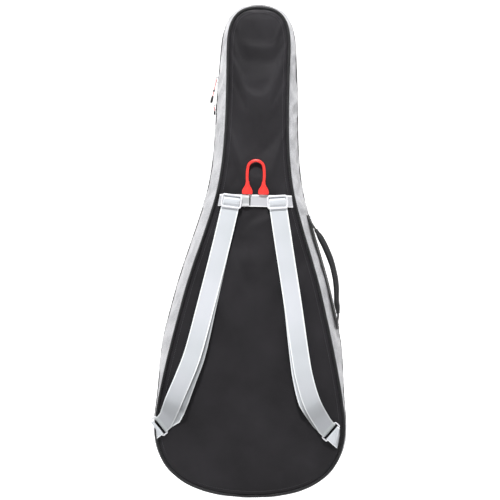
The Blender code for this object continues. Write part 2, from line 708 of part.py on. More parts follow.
def rounded_loop(centre, x_axis, z_axis, half_x, half_z, corner):
    points = []
    for quarter, (sx, sz) in enumerate(((1, 1), (-1, 1), (-1, -1), (1, -1))):
        for step in range(3):
            angle = math.pi / 2 * (quarter + step / 2)
            points.append(centre + x_axis * (sx * (half_x - corner) + corner * math.cos(angle))
                          + z_axis * (sz * (half_z - corner) + corner * math.sin(angle)))
    return points


def strap_tab(side, wire, lean, up):
    """Webbing out of the side seam, folded round the ring's lower wire."""
    reach = half_width(wire.z - 0.010) - TAB_SEAM - abs(wire.x)
    seam = wire - up * max(TAB_SHORTEST, reach / math.sin(STRAP_END_SLOPE))
    front_end, back_end = (Vector((seam.x, depth, seam.z)) for depth in (TAB_FRONT, TAB_BACK))
    path = [front_end]
    for turn in range(5):
        angle = math.pi * turn / 4
        path.append(wire + BACKWARD * FOLD * math.cos(angle) + up * FOLD * math.sin(angle))
    path.append(back_end)
    ribbon(f"strap_tab_{side}", "silver_webbing", path, lean, TAB_WIDTH, WEBBING)


def triglide(side, lying, across, parent):
    """A tri-glide near the strap's top: rails in front of the webbing, its middle bar behind."""
    place = lying[0].lerp(lying[1], TRIGLIDE_PLACE)
    along_x = across[1].normalized()
    slide = empty(f"{side}_triglide_place", place, parent)
    reach = WEBBING / 2 + 0.0005 + TRIGLIDE_RAIL / 2
    side_x = (TRIGLIDE_WIDTH - TRIGLIDE_SIDE) / 2
    edge_z = (TRIGLIDE_LENGTH - TRIGLIDE_EDGE_BAR) / 2
    side_bar = (TRIGLIDE_SIDE, 2 * reach + TRIGLIDE_RAIL, TRIGLIDE_LENGTH - TRIGLIDE_TUCK)
    edge_bar = (TRIGLIDE_WIDTH - TRIGLIDE_TUCK, TRIGLIDE_RAIL, TRIGLIDE_EDGE_BAR)
    middle_bar = (TRIGLIDE_WIDTH - TRIGLIDE_TUCK, TRIGLIDE_RAIL, TRIGLIDE_MIDDLE_BAR)
    boxes = [(side_bar, (side_x, 0, 0)), (edge_bar, (0, reach, edge_z)), (edge_bar, (0, reach, -edge_z)),
             (middle_bar, (0, -reach, 0)), (side_bar, (-side_x, 0, 0))]
    joined_boxes(f"triglide_{side}", "gray_plastic", boxes, frame_matrix(place, along_x, BACKWARD),
                 parent=slide)


strap_bar()
strap("left")
strap("right")


# ---------------------------------------------------------------- hang loop


def hang_loop():
    """The coral cord the bag hangs by, its ends pressed into two leaves sewn at the bar's upper edge."""
    axis = empty("hang_loop_axis", on_back(0, LEAF_FOOT, LOOP_HINGE_LIFT), BAG_FRAME)
    leaf_top = LEAF_FOOT + LEAF_HEIGHT
    centre = LOOP_APEX + LOOP_CORD_RADIUS - LOOP_HALF_SPACING
    points = [Vector((-LOOP_HALF_SPACING, LOOP_Y, leaf_top + GAP)),
              Vector((-LOOP_HALF_SPACING - 0.001, LOOP_Y, (leaf_top + centre) / 2))]
    for step in range(9):
        angle = math.pi * (1 - step / 8)
        points.append(Vector((LOOP_HALF_SPACING * math.cos(angle), LOOP_Y,
                              centre + LOOP_HALF_SPACING * math.sin(angle))))
    points += [Vector((-point.x, point.y, point.z)) for point in points[1::-1]]
    tube("hang_loop_cord", "coral_cord", points, LOOP_CORD_RADIUS, parent=axis)
    for side, sign in (("left", -1), ("right", 1)):
        path = [Vector((sign * LOOP_HALF_SPACING, LOOP_Y, LEAF_FOOT + share * LEAF_HEIGHT))
                for share, _ in LEAF_SHAPE]
        widths = [LEAF_WIDTH * share for _, share in LEAF_SHAPE]
        ribbon(f"hang_loop_leaf_{side}", "coral_cord", path, Vector((1, 0, 0)), widths, LEAF_THICK, axis)


hang_loop()


# ---------------------------------------------------------------- side handle


def on_side(height, lift, low=0.0305, high=0.0495):
    """A point on the right side wall at this height, this far off it, and the way across the wall."""
    station = next(s for s in range(FOOT) if STATIONS[s + 1].y <= height)
    share = (STATIONS[station].y - height) / (STATIONS[station].y - STATIONS[station + 1].y)
    near, far = ([at(s, skin(s, y), y) for s in (station, station + 1)] for y in (low, high))
    inner, outer = near[0].lerp(near[1], share), far[0].lerp(far[1], share)
    across = (outer - inner).normalized()
    along = (near[1] - near[0]).normalized()
    normal = along.cross(across).normalized()
    return inner.lerp(outer, (HANDLE_Y - low) / (high - low)) + normal * lift, across, normal


def handle():
    """A padded grip between two sewn ends, over a webbing strip on the right side."""
    top, length = HANDLE_HIGH + HANDLE_STRIP_MARGIN, HANDLE_HIGH - HANDLE_LOW + 2 * HANDLE_STRIP_MARGIN
    strip = [on_side(top - length * i / 9, HANDLE_STRIP_LIFT) for i in range(10)]
    ribbon("handle_base_strip", "black_trim", [spot[0] for spot in strip], [spot[1] for spot in strip],
           HANDLE_STRIP_WIDTH, WEBBING)

    axis = empty("handle_axis", on_side(HANDLE_HIGH + HANDLE_FOOT, HANDLE_HINGE_LIFT)[0], BAG_FRAME)
    rise = HANDLE_STANDOFF - HANDLE_GRIP_THICK / 2 - HANDLE_END_LIFT
    path, across, widths = [], [], []
    for i in range(HANDLE_STEPS + 1):
        share = i / HANDLE_STEPS
        arch = math.sin(math.pi * share)
        point, way, _ = on_side(HANDLE_HIGH + (HANDLE_LOW - HANDLE_HIGH) * share,
                                HANDLE_END_LIFT + rise * arch**0.8)
        path.append(point)
        across.append(way.lerp(Vector((0, 1, 0)), 0.6))
        widths.append(HANDLE_GRIP_WIDTH * (HANDLE_NARROW + (1 - HANDLE_NARROW) * min(1, 2.5 * arch)))
    grip = ribbon("handle_grip", "black_trim", path, across, widths, HANDLE_GRIP_THICK, axis)
    rounded = grip.modifiers.new("rounded_edges", "BEVEL")
    rounded.width = HANDLE_GRIP_BEVEL
    rounded.segments = 2
    rounded.limit_method = "ANGLE"
    rounded.angle_limit = math.radians(50)

    for label, end, beyond, foot_height, sign in (
        ("upper", path[0], path[1], HANDLE_HIGH + HANDLE_FOOT, 1),
        ("lower", path[-1], path[-2], HANDLE_LOW - HANDLE_FOOT, -1),
    ):
        away = (end - beyond).normalized()
        foot, way, _ = on_side(foot_height, HANDLE_FOOT_LIFT)
        bend, _, _ = on_side(foot_height - sign * 0.008, HANDLE_FOOT_LIFT + 0.0008)
        tab = [end + away * 0.0006, end + away * 0.0060, bend, foot]
        ribbon(f"handle_end_{label}", "black_trim", tab, way, HANDLE_TAB_WIDTHS, WEBBING, axis)


handle()


# ---------------------------------------------------------------- pockets on the lid


def pocket(label, low, high, inset, depth, corner):
    """A flat pocket on the front: a panel on a low wall, with a zipper across the panel's top."""
    rows = []
    for i in range(POCKET_ROWS + 1):
        height = high - (high - low) * (0.5 - 0.5 * math.cos(math.pi * i / POCKET_ROWS))
        short = max(0, corner - min(high - height, height - low))
        cut = corner - math.sqrt(corner * corner - short * short)
        half = half_width(height, -inset, FRONT_SEAM_BULGE) - cut
        rows.append((Vector((-half, height)), Vector((half, height))))
    top = FRONT_Y + FRONT_CROWN + depth

    def surface(x, half):
        return top + crown_at(x, half, POCKET_CROWN)

    panel = mesh_from(plate(rows, surface, FABRIC), f"{label}_panel")
    add_object(f"{label}_panel", panel, "gray_heather", LID)

    foot_edge = [rows[-1][1].lerp(rows[-1][0], share) for share in (0.25, 0.5, 0.75)]
    head_edge = [rows[0][0].lerp(rows[0][1], share) for share in (0.25, 0.5, 0.75)]
    rim = [right for _, right in rows] + foot_edge + [left for left, _ in reversed(rows)] + head_edge
    sections = []
    for i, point in enumerate(rim):
        along = (rim[(i + 1) % len(rim)] - rim[i - 1]).normalized()
        inner = point + Vector((along.y, -along.x)) * FABRIC
        base = max(front_surface(spot.x, spot.y) for spot in (point, inner)) + POCKET_CLEARANCE
        sections.append([Vector((spot.x, y, spot.y)) for spot, y in
                         ((point, base), (point, top - GAP), (inner, top - GAP), (inner, base))])
    add_object(f"{label}_wall", mesh_from(loft(sections, closed=True), f"{label}_wall"), "gray_heather", LID)

    zip_height = high - corner - POCKET_ZIP_DROP
    half_here = half_width(zip_height, -inset, FRONT_SEAM_BULGE)
    reach = half_here - POCKET_ZIP_INSET

    def on_panel(x, lift):
        return Vector((x, surface(x, half_here) + FABRIC + lift, zip_height))

    path = [on_panel(reach * (i / 4 - 1), POCKET_ZIP_LIFT) for i in range(9)]
    ribbon(f"{label}_zip", "zip_coil", path, Vector((0, 0, 1)), POCKET_ZIP_WIDTH, POCKET_ZIP_THICK, LID)
    place = on_panel(-reach * POCKET_SLIDER_PLACE, POCKET_SLIDER_LIFT)
    slider = empty(f"{label}_slider_place", place, LID)
    out = Vector((0, 1, 0))
    zip_slider(f"{label}_slider", place, Vector((-1, 0, 0)), out, slider, POCKET_SLIDER_PLATE)
    eye = place + out * SLIDER_EYE
    cord_pull(label, eye, out, empty(f"{label}_pull_axis", eye, slider))


pocket("large_pocket", *LARGE_POCKET)
pocket("head_pocket", *HEAD_POCKET)


# ---------------------------------------------------------------- inside the bag


def neck_cradle():
    """A plush block with a trough for the neck, and the strap that holds the neck down in it."""
    half = [(CRADLE_HALF, CRADLE_BACK), (CRADLE_HALF, CRADLE_TOP), (CRADLE_LIP, CRADLE_TOP),
            (CRADLE_TROUGH, CRADLE_FLOOR)]
    outline = half + [(-x, y) for x, y in reversed(half)]
    sections = [[Vector((x, y, height)) for x, y in outline] for height in (CRADLE_LOW, CRADLE_HIGH)]
    block = add_object("neck_cradle", mesh_from(loft(sections), "neck_cradle"), "cradle_plush")
    rounded = block.modifiers.new("rounded_edges", "BEVEL")
    rounded.width = CRADLE_BEVEL
    rounded.segments = 1
    rounded.limit_method = "ANGLE"

    middle = (CRADLE_LOW + CRADLE_HIGH) / 2
    arch = [(NECK_STRAP_END, CRADLE_TOP + NECK_STRAP_LIFT), *NECK_STRAP_ARCH]
    path = [Vector((x, y, middle)) for x, y in [(-x, y) for x, y in arch] + arch[-2::-1]]
    axis = empty("neck_strap_axis", path[0], BAG_FRAME)
    ribbon("neck_strap", "black_trim", path, Vector((0, 0, 1)), NECK_STRAP_WIDTH, WEBBING, axis)


neck_cradle()
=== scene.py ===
"""The looks of the padded gig bag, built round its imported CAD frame.

Everything is in metres in the frame's own axes: +X to the right seen from behind, +Y into the bag, +Z up.
"Bag coordinates" below are (x, y, h): y from the back seam, h from the bag's lowest point.
"""

import itertools
import json
import math

import bmesh
import bpy
import numpy as np
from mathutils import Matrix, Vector
from mathutils.geometry import interpolate_bezier

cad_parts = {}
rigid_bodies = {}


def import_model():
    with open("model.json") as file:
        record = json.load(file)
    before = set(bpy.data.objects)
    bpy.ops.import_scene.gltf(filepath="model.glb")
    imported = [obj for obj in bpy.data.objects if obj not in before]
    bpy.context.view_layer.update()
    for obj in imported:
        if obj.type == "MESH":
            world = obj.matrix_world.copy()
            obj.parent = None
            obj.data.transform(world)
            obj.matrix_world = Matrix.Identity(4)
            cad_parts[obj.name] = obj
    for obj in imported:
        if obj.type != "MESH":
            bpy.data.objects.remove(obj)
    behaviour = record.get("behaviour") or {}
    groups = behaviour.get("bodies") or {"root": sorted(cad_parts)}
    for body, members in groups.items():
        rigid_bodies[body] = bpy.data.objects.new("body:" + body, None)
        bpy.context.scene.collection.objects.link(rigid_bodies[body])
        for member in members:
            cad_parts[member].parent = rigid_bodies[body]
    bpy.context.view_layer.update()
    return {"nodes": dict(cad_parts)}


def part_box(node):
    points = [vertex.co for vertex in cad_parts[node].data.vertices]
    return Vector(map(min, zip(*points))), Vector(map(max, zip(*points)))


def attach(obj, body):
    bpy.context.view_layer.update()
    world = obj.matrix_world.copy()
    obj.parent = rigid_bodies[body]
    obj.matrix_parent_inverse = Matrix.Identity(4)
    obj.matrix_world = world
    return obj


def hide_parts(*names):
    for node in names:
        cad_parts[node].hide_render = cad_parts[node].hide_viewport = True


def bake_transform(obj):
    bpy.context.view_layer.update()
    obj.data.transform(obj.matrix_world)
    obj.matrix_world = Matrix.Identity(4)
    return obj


for leftover in list(bpy.data.objects):
    bpy.data.objects.remove(leftover, do_unlink=True)

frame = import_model()

# ---------------------------------------------------------------- dimensions shared with the CAD

BAG_Y, BAG_Z = 0.0111, -0.7060  # bag coordinates to the frame's
OUTLINE_KNOTS = [
    ((0, 1.031), None, (0.0470, 1.031)),
    ((0.0642, 0.945), (0.0645, 1.006), (0.0638, 0.900)),
    ((0.0642, 0.790), (0.0630, 0.840), (0.0650, 0.757)),
    ((0.0800, 0.638), (0.0680, 0.690), (0.0938, 0.578)),
    ((0.1400, 0.437), (0.1245, 0.497), (0.158, 0.367)),
    ((0.1975, 0.150), (0.1975, 0.205), (0.1975, 0.070)),
    ((0, 0.006), (0.148, 0.006), None),
]
SECTION_Y = [0, 0.003, 0.012, 0.016, 0.030, 0.050, 0.0725, 0.0875, 0.097, 0.109, 0.113, 0.122, 0.125]
SECTION_SHARE = [0, 0.04, 0.33, 0.46, 0.78, 0.96, 1, 1, 0.98, 0.90, 0.86, 0.78, 0.75]
PARTING_Y, FRONT_Y = 0.080, 0.125
BACK_CROWN, FRONT_CROWN, CROWN_FULL_WIDTH = 0.006, 0.008, 0.050
FABRIC, FOAM, LINING_INSET = 0.0012, 0.0100, 0.0121
SEAM, PIPING_RADIUS = 0.0032, 0.0031
ZIP_TAPE_EDGE = 0.0071
SPINE_LOW, SPINE_HIGH = 0.095, 0.262
STRAP_WIDTH, WEBBING = 0.037, 0.0016
BAR_LOW, BAR_HEIGHT, BAR_LEFT, BAR_RIGHT, BAR_SLANT = 0.6130, 0.0250, -0.0762, 0.0780, 0.004
TRIGLIDE_WIDTH, TRIGLIDE_LENGTH = 0.0432, 0.0290
RING_LENGTH, RING_HEIGHT, RING_WIRE = 0.0420, 0.0120, 0.0014
LOOP_APEX, LOOP_HALF_SPACING, LOOP_CORD_RADIUS = 0.7060, 0.0170, 0.0034
LEAF_HEIGHT, LEAF_WIDTH = 0.0240, 0.0220
HANDLE_HIGH, HANDLE_LOW, HANDLE_Y, HANDLE_STANDOFF = 0.5650, 0.3900, 0.0370, 0.0240
STRAP_ROUTES = {
    "left": [(-0.0470, 0.6360, 0.0082), (-0.0694, 0.5300, 0.0082), (-0.0955, 0.4165, 0.0082),
             (-0.1212, 0.3100, 0.0080), (-0.1395, 0.2570, 0.0080), (-0.1612, 0.2030, 0.0075),
             (-0.1780, 0.1593, 0.0080)],
    "right": [(0.0446, 0.6360, 0.0082), (0.0627, 0.5300, 0.0082), (0.0828, 0.4165, 0.0082),
              (0.1005, 0.3100, 0.0080), (0.1112, 0.2570, 0.0080), (0.1292, 0.2030, 0.0075),
              (0.1573, 0.1555, 0.0080)],
}
STRAP_END_SLOPE = math.radians(50)
# How far the returning layer shows on the inner side, from low to high.
TAIL_HEIGHTS = (0.165, 0.186, 0.207, 0.249, 0.291, 0.333, 0.400, 0.545)
TAIL_SHIFT = {"left": (0.0130, 0.0148, 0.0138, 0.0108, 0.0098, 0.0080, 0.0050, 0),
              "right": (0.0050, 0.0074, 0.0097, 0.0072, 0.0052, 0.0037, 0.0014, 0)}
TAB_SEAM = {"left": -0.0008, "right": -0.0095}  # where each tab is sewn in, from the seam line
TAIL_TOP, TAIL_LIFT, HALF_TAIL = 0.545, 0.0031, STRAP_WIDTH * 0.48
BACKWARD, INWARD, UPWARD, RIGHTWARD = np.array([[0, -1, 0], [0, 1, 0], [0, 0, 1], [1, 0, 0]], float)

# ---------------------------------------------------------------- camera, light and floor

VIEW_DISTANCE = 5.2
FRAME_WIDTH = 1.0465  # the width that the picture covers at the back panel
SENSOR, CAMERA_X, CAMERA_Z, CAMERA_ROLL = 36, -0.0085, -0.1840, math.radians(-1.30)
camera_data = bpy.data.cameras.new("camera")
camera_data.sensor_width = SENSOR
camera_data.lens = SENSOR * VIEW_DISTANCE / FRAME_WIDTH
camera = bpy.data.objects.new("camera", camera_data)
camera.location = (CAMERA_X, -VIEW_DISTANCE, CAMERA_Z)
camera.rotation_euler = (math.pi / 2, CAMERA_ROLL, 0)
bpy.context.scene.collection.objects.link(camera)
bpy.context.scene.camera = camera


def softbox(name, place, size, power):
    """A rectangular lamp that faces the middle of the bag."""
    data = bpy.data.lights.new(name, "AREA")
    data.shape = "RECTANGLE"
    data.size, data.size_y = size
    data.energy = power
    lamp = bpy.data.objects.new(name, data)
    lamp.location = place
    lamp.rotation_euler = (Vector(MIDDLE) - Vector(place)).to_track_quat("-Z", "Y").to_euler()
    bpy.context.scene.collection.objects.link(lamp)


MIDDLE = (0, 0.05, -0.20)
softbox("key", (-0.15, -1.35, 1.9), (0.30, 0.25), 94)
softbox("left", (-2.4, -0.9, 0.2), (0.5, 1.6), 8)
softbox("right", (2.4, -0.9, 0.2), (0.5, 1.6), 10)

world = bpy.data.worlds.new("studio")
bpy.context.scene.world = world
world.use_nodes = True
world.node_tree.nodes["Background"].inputs["Color"].default_value = (1, 1, 1, 1)
world.node_tree.nodes["Background"].inputs["Strength"].default_value = 0.17
bpy.context.scene.view_settings.view_transform = "Standard"

# ---------------------------------------------------------------- materials


WAVE_SCALE = 0.31416  # a wave texture of scale 1 repeats every 2 pi / 20


class Paint:
    """A Principled material and short ways to add the nodes that drive it."""

    def __init__(self, name, colour, roughness, **sockets):
        self.material = bpy.data.materials.new("look_" + name)
        self.material.use_nodes = True
        self.tree = self.material.node_tree
        self.shader = self.tree.nodes["Principled BSDF"]
        self.shader.inputs["Base Color"].default_value = (*colour, 1)
        self.shader.inputs["Roughness"].default_value = roughness
        for label, value in sockets.items():
            self.shader.inputs[label.replace("_", " ")].default_value = value
        self.material.diffuse_color = (*colour, 1)
        self.uv = self.node("ShaderNodeUVMap").outputs["UV"]

    def node(self, kind, inputs=None, **settings):
        made = self.tree.nodes.new(kind)
        for key, value in settings.items():
            setattr(made, key, value)
        for key, value in (inputs or {}).items():
            if isinstance(value, bpy.types.NodeSocket):
                self.tree.links.new(value, made.inputs[key])
            else:
                made.inputs[key].default_value = value
        return made

    def stretched(self, x, y, turn=0.0):
        """The UV coordinates, which are in metres, scaled along each way after a turn."""
        return self.node("ShaderNodeMapping", {"Vector": self.uv, "Scale": (x, y, 1),
                                               "Rotation": (0, 0, turn)}).outputs["Vector"]

    def noise(self, scale, detail=2.0, stretch=(1, 1), roughness=0.5):
        return self.node("ShaderNodeTexNoise", {"Vector": self.stretched(*stretch), "Scale": scale,
                                                "Detail": detail, "Roughness": roughness}).outputs["Fac"]

    def bands(self, pitch, turn=0.0):
        """Stripes across U at this pitch in metres, turned by an angle."""
        inputs = {"Vector": self.stretched(1, 1, turn), "Scale": WAVE_SCALE / pitch}
        return self.node("ShaderNodeTexWave", inputs, wave_type="BANDS", bands_direction="X",
                         wave_profile="SIN").outputs["Fac"]

    def maths(self, operation, a, b=0.5):
        return self.node("ShaderNodeMath", {0: a, 1: b}, operation=operation).outputs[0]

    def ramp(self, factor, low, high, start=0.35, end=0.65):
        """A colour between low and high as the factor goes from start to end."""
        made = self.node("ShaderNodeValToRGB", {"Fac": factor})
        made.color_ramp.elements[0].position, made.color_ramp.elements[1].position = start, end
        made.color_ramp.elements[0].color = (*low, 1)
        made.color_ramp.elements[1].color = (*high, 1)
        return made.outputs["Color"]

    def mix(self, factor, a, b, blend="MIX"):
        made = self.node("ShaderNodeMix", data_type="RGBA", blend_type=blend)
        for socket, value in ((0, factor), (6, a), (7, b)):
            if isinstance(value, bpy.types.NodeSocket):
                self.tree.links.new(value, made.inputs[socket])
            else:
                made.inputs[socket].default_value = value if socket == 0 else (*value, 1)
        return made.outputs[2]

    def colour(self, socket):
        self.tree.links.new(socket, self.shader.inputs["Base Color"])

    def roughness(self, factor, low, high):
        made = self.node("ShaderNodeMapRange", {"Value": factor, "From Min": 0.3, "From Max": 0.7,
                                                "To Min": low, "To Max": high})
        self.tree.links.new(made.outputs["Result"], self.shader.inputs["Roughness"])

    def bump(self, *layers):
        """Each layer is (height, strength, distance in metres); later ones ride on the earlier."""
        normal = None
        for height, strength, distance in layers:
            inputs = {"Height": height, "Strength": strength, "Distance": distance}
            if normal:
                inputs["Normal"] = normal
            normal = self.node("ShaderNodeBump", inputs).outputs["Normal"]
        self.tree.links.new(normal, self.shader.inputs["Normal"])


def scaled(colour, factor):
    return tuple(c * factor for c in colour)


def nylon(name, colour, sheen=0.06):
    """Oxford-weave nylon: a fine square weave, rubbed lighter here and there."""
    paint = Paint(name, colour, 0.5, Sheen_Weight=sheen, Sheen_Roughness=0.4, Specular_IOR_Level=0.14)
    cloud, smudge = paint.noise(9, 4), paint.noise(42, 3, (1, 0.4))
    tone = paint.mix(paint.maths("MULTIPLY", smudge, 0.5), paint.ramp(cloud, scaled(colour, 0.62),
                     scaled(colour, 1.45), 0.3, 0.7), scaled(colour, 1.2))
    warp, weft = paint.bands(0.0009), paint.bands(0.0009, math.pi / 2)
    weave = paint.maths("MULTIPLY", warp, weft)
    paint.colour(paint.mix(paint.maths("MULTIPLY", weave, 0.22), tone, scaled(colour, 1.9)))
    paint.roughness(smudge, 0.42, 0.60)
    paint.bump((paint.noise(60, 3), 0.12, 0.002), (weave, 0.35, 0.0003))
    return paint.material


def heather(name, dark, light):
    """Melange polyester: yarns of several grays, spun unevenly in both directions."""
    paint = Paint(name, light, 0.85, Sheen_Weight=0.3, Sheen_Roughness=0.5)
    warp = paint.noise(1, 3, (1300, 170))
    weft = paint.noise(1, 3, (150, 1200))
    slubs = paint.noise(330, 4, (1, 1), 0.7)
    yarns = paint.maths("MULTIPLY", paint.maths("ADD", warp, weft), 0.5)
    tone = paint.ramp(yarns, dark, light, 0.40, 0.60)
    tone = paint.mix(paint.maths("MULTIPLY", slubs, 0.55), tone, paint.ramp(slubs, dark, light, 0.38, 0.6))
    tone = paint.mix(0.35, tone, paint.ramp(paint.noise(14, 4), dark, light, 0.3, 0.62))
    paint.colour(tone)
    weave = paint.maths("MULTIPLY", paint.bands(0.0011), paint.bands(0.0011, math.pi / 2))
    paint.bump((paint.noise(90, 4), 0.25, 0.0015), (weave, 0.4, 0.0004))
    return paint.material


def ribbed(name, colour, pitch, turn=0.0, highlight=1.7, roughness=0.6, depth=0.0004):
    """Webbing, tape or binding with ribs across it, or aslant."""
    paint = Paint(name, colour, roughness, Sheen_Weight=0.06, Sheen_Roughness=0.4, Specular_IOR_Level=0.28)
    ribs, fuzz = paint.bands(pitch, turn), paint.noise(500, 3)
    tone = paint.ramp(ribs, scaled(colour, 0.6), scaled(colour, highlight), 0.15, 0.9)
    paint.colour(paint.mix(paint.maths("MULTIPLY", fuzz, 0.5), tone, colour))
    paint.roughness(fuzz, roughness - 0.08, roughness + 0.12)
    paint.bump((ribs, 0.7, depth), (fuzz, 0.2, 0.0003))
    return paint.material


def satin(name, colour, shade, edge, half_width, painted_shade=()):
    """Seat-belt webbing: fine lengthwise ribs under a satin gloss, a painted highlight along each edge where
    the thick selvedge catches the light, and, if given, painted shade along its length.
    """
    paint = Paint(name, colour, 0.38, Sheen_Weight=0.15, Sheen_Roughness=0.3, Coat_Weight=0.12,
                  Coat_Roughness=0.35)
    across = paint.node("ShaderNodeSeparateXYZ", {0: paint.uv}).outputs["Y"]
    from_middle = paint.maths("ABSOLUTE", across)
    # painted highlight: a paler band along each edge, where the thick selvedge catches the light
    edge_highlight = paint.node("ShaderNodeMapRange", {"Value": from_middle, "From Min": half_width - 0.0030,
                                                 "From Max": half_width - 0.0012}).outputs["Result"]
    ribs = paint.bands(0.0014, math.pi / 2)
    weft = paint.bands(0.0007)
    cloud = paint.noise(7, 2, (1, 0.5))
    tone = paint.ramp(cloud, shade, colour, 0.25, 0.6)
    tone = paint.mix(paint.maths("MULTIPLY", ribs, 0.18), tone, scaled(colour, 0.72))
    tone = paint.mix(edge_highlight, tone, edge)
    # painted shade, not a colour of the webbing: where the piece lies in shade it is darkened along its
    # length
    if painted_shade:  # the piece darkens along its length, as (distance in metres, tone) pairs
        along = paint.node("ShaderNodeSeparateXYZ", {0: paint.uv}).outputs["X"]
        ramp = paint.node("ShaderNodeValToRGB", {"Fac": along})
        ramp.color_ramp.elements[0].color = ramp.color_ramp.elements[1].color = (1, 1, 1, 1)
        for (place, value), element in zip(painted_shade, [ramp.color_ramp.elements[0], *(
                ramp.color_ramp.elements.new(place) for place, _ in painted_shade[1:])]):
            element.position = place
            element.color = (value, value * 1.03, value * 1.04, 1)
        ramp.color_ramp.elements[-1].color = ramp.color_ramp.elements[-2].color
        tone = paint.mix(1.0, tone, ramp.outputs["Color"], "MULTIPLY")
    paint.colour(tone)
    paint.roughness(paint.noise(120, 2, (0.2, 1)), 0.30, 0.46)
    paint.bump((ribs, 0.30, 0.0003), (weft, 0.18, 0.0002))
    return paint.material


def moulded(name, colour, roughness, grain=0.1, spots=1.12):
    """Moulded plastic or plated metal: a fine grain and slight handling marks."""
    paint = Paint(name, colour, roughness, Specular_IOR_Level=0.5)
    marks, fine = paint.noise(130, 4), paint.noise(1600, 2)
    paint.colour(paint.ramp(marks, scaled(colour, 1 / spots), scaled(colour, spots)))
    paint.roughness(marks, roughness - 0.05, roughness + 0.1)
    paint.bump((marks, grain, 0.0006), (fine, grain, 0.0002))
    return paint.material


def cord_weave(name, colour, second, pitch):
    """Braided cord: crossing strands in two tones."""
    paint = Paint(name, colour, 0.5, Sheen_Weight=0.2, Sheen_Roughness=0.4)
    one, two = paint.bands(pitch, 0.9), paint.bands(pitch, -0.9)
    braid = paint.maths("MAXIMUM", one, two)
    paint.colour(paint.mix(paint.maths("MULTIPLY", paint.maths("MULTIPLY", one, two), 0.8), colour, second))
    paint.roughness(paint.noise(300, 2), 0.42, 0.62)
    paint.bump((braid, 0.6, 0.0004))
    return paint.material


def plush(name, colour):
    """Deep short pile, clumped here and there."""
    paint = Paint(name, colour, 0.95, Sheen_Weight=0.6, Sheen_Roughness=0.5)
    pile, clump = paint.noise(900, 4, roughness=0.7), paint.noise(60, 3)
    paint.colour(paint.mix(paint.maths("MULTIPLY", pile, 0.7), paint.ramp(clump, scaled(colour, 0.75),
                 scaled(colour, 1.3)), scaled(colour, 1.6)))
    paint.bump((clump, 0.3, 0.003), (pile, 0.5, 0.0015))
    return paint.material


def cellular(name, colour):
    """Closed-cell foam: small cells under a cut face."""
    paint = Paint(name, colour, 0.9)
    cells = paint.node("ShaderNodeTexVoronoi", {"Vector": paint.uv, "Scale": 700}).outputs["Distance"]
    paint.colour(paint.ramp(cells, scaled(colour, 0.8), scaled(colour, 1.15), 0.1, 0.6))
    paint.bump((cells, 0.4, 0.0006))
    return paint.material


# (colour, darker tone for the random clouding, colour of the painted edge highlight)
STRAP_TONES = ((0.56, 0.56, 0.59), (0.46, 0.475, 0.49), (0.88, 0.88, 0.89))
LOOK = {name: maker(name, *settings) for maker, name, *settings in (
    (nylon, "nylon", (0.0155, 0.0145, 0.0165), 0.03),
    (heather, "heather", (0.22, 0.22, 0.235), (0.58, 0.58, 0.60)),
    (ribbed, "piping", (0.009, 0.009, 0.010), 0.0032, 0.6, 2.2, 0.5, 0.0005),
    (ribbed, "grosgrain", (0.013, 0.013, 0.014), 0.0016, 0.0, 1.8),
    (ribbed, "webbing_black", (0.014, 0.014, 0.015), 0.0021, 0.0, 1.9),
    # the strap look has painted shade towards its lower end, where the strap turns away from the light
    (satin, "strap", *STRAP_TONES, STRAP_WIDTH / 2, ((0, 1.0), (0.36, 1.0), (0.43, 0.84), (0.485, 0.56))),
    # a shaded copy of the strap look for the fold round the ring: its darker colours are painted shade
    (satin, "strap_end", (0.36, 0.38, 0.39), (0.30, 0.32, 0.33), (0.50, 0.52, 0.53), STRAP_WIDTH / 2),
    # painted shadow: the left returning layer is darkened where the strap in front of it shades it
    (satin, "strap_under", *STRAP_TONES, HALF_TAIL, ((0, 0.75), (0.036, 0.85), (0.042, 0.50))),
    # painted shade: the right returning layer is darkened towards its low end, in the shade of the crease
    (satin, "strap_over", *STRAP_TONES, HALF_TAIL, ((0, 0.30), (0.040, 0.40), (0.075, 0.95))),
    # the bar and keeper looks carry the painted edge highlight too
    (satin, "bar", (0.50, 0.50, 0.53), (0.42, 0.43, 0.45), (0.86, 0.86, 0.87), BAR_HEIGHT / 2),
    (satin, "keeper", (0.42, 0.43, 0.44), (0.33, 0.34, 0.35), (0.62, 0.62, 0.63), 0.0085),
    (moulded, "coral", (0.80, 0.035, 0.028), 0.36, 0.12, 1.10),
    (cord_weave, "pull_cord", (0.62, 0.10, 0.10), (0.75, 0.72, 0.72), 0.0022),
    (moulded, "gray_plastic", (0.66, 0.66, 0.69), 0.30, 0.06, 1.04),
    (moulded, "black_plastic", (0.016, 0.016, 0.017), 0.38, 0.15),
    (moulded, "coil", (0.022, 0.022, 0.024), 0.35, 0.10),
    (moulded, "slider", (0.10, 0.10, 0.11), 0.30, 0.10),
    (nylon, "lining", (0.16, 0.17, 0.19), 0.4),
    (cellular, "foam", (0.30, 0.31, 0.33)),
    (plush, "plush", (0.10, 0.10, 0.12)),
    (ribbed, "thread", (0.055, 0.053, 0.060), 0.0008, 0.8, 1.6),
    (ribbed, "thread_pale", (0.72, 0.72, 0.74), 0.0008, 0.8, 1.2),
)}

# ---------------------------------------------------------------- mesh builders


def in_frame(points):
    """Bag coordinates (x, y, h) to the frame's."""
    return np.asarray(points, float) + np.array([0, BAG_Y, BAG_Z])


def to_mesh(name, points, faces, uvs, look, smooth_angle=50):
    """A mesh object from frame points, faces as index lists and one UV pair for each corner."""
    mesh = bpy.data.meshes.new(name)
    mesh.from_pydata(np.asarray(points, float).tolist(), [], [list(map(int, face)) for face in faces])
    layer = mesh.uv_layers.new(name="UVMap")
    layer.data.foreach_set("uv", np.asarray(uvs, np.float32).ravel())
    mesh.materials.append(LOOK[look])
    mesh.shade_smooth()
    if smooth_angle:
        mesh.set_sharp_from_angle(angle=math.radians(smooth_angle))
    made = bpy.data.objects.new(name, mesh)
    bpy.context.scene.collection.objects.link(made)
    return made


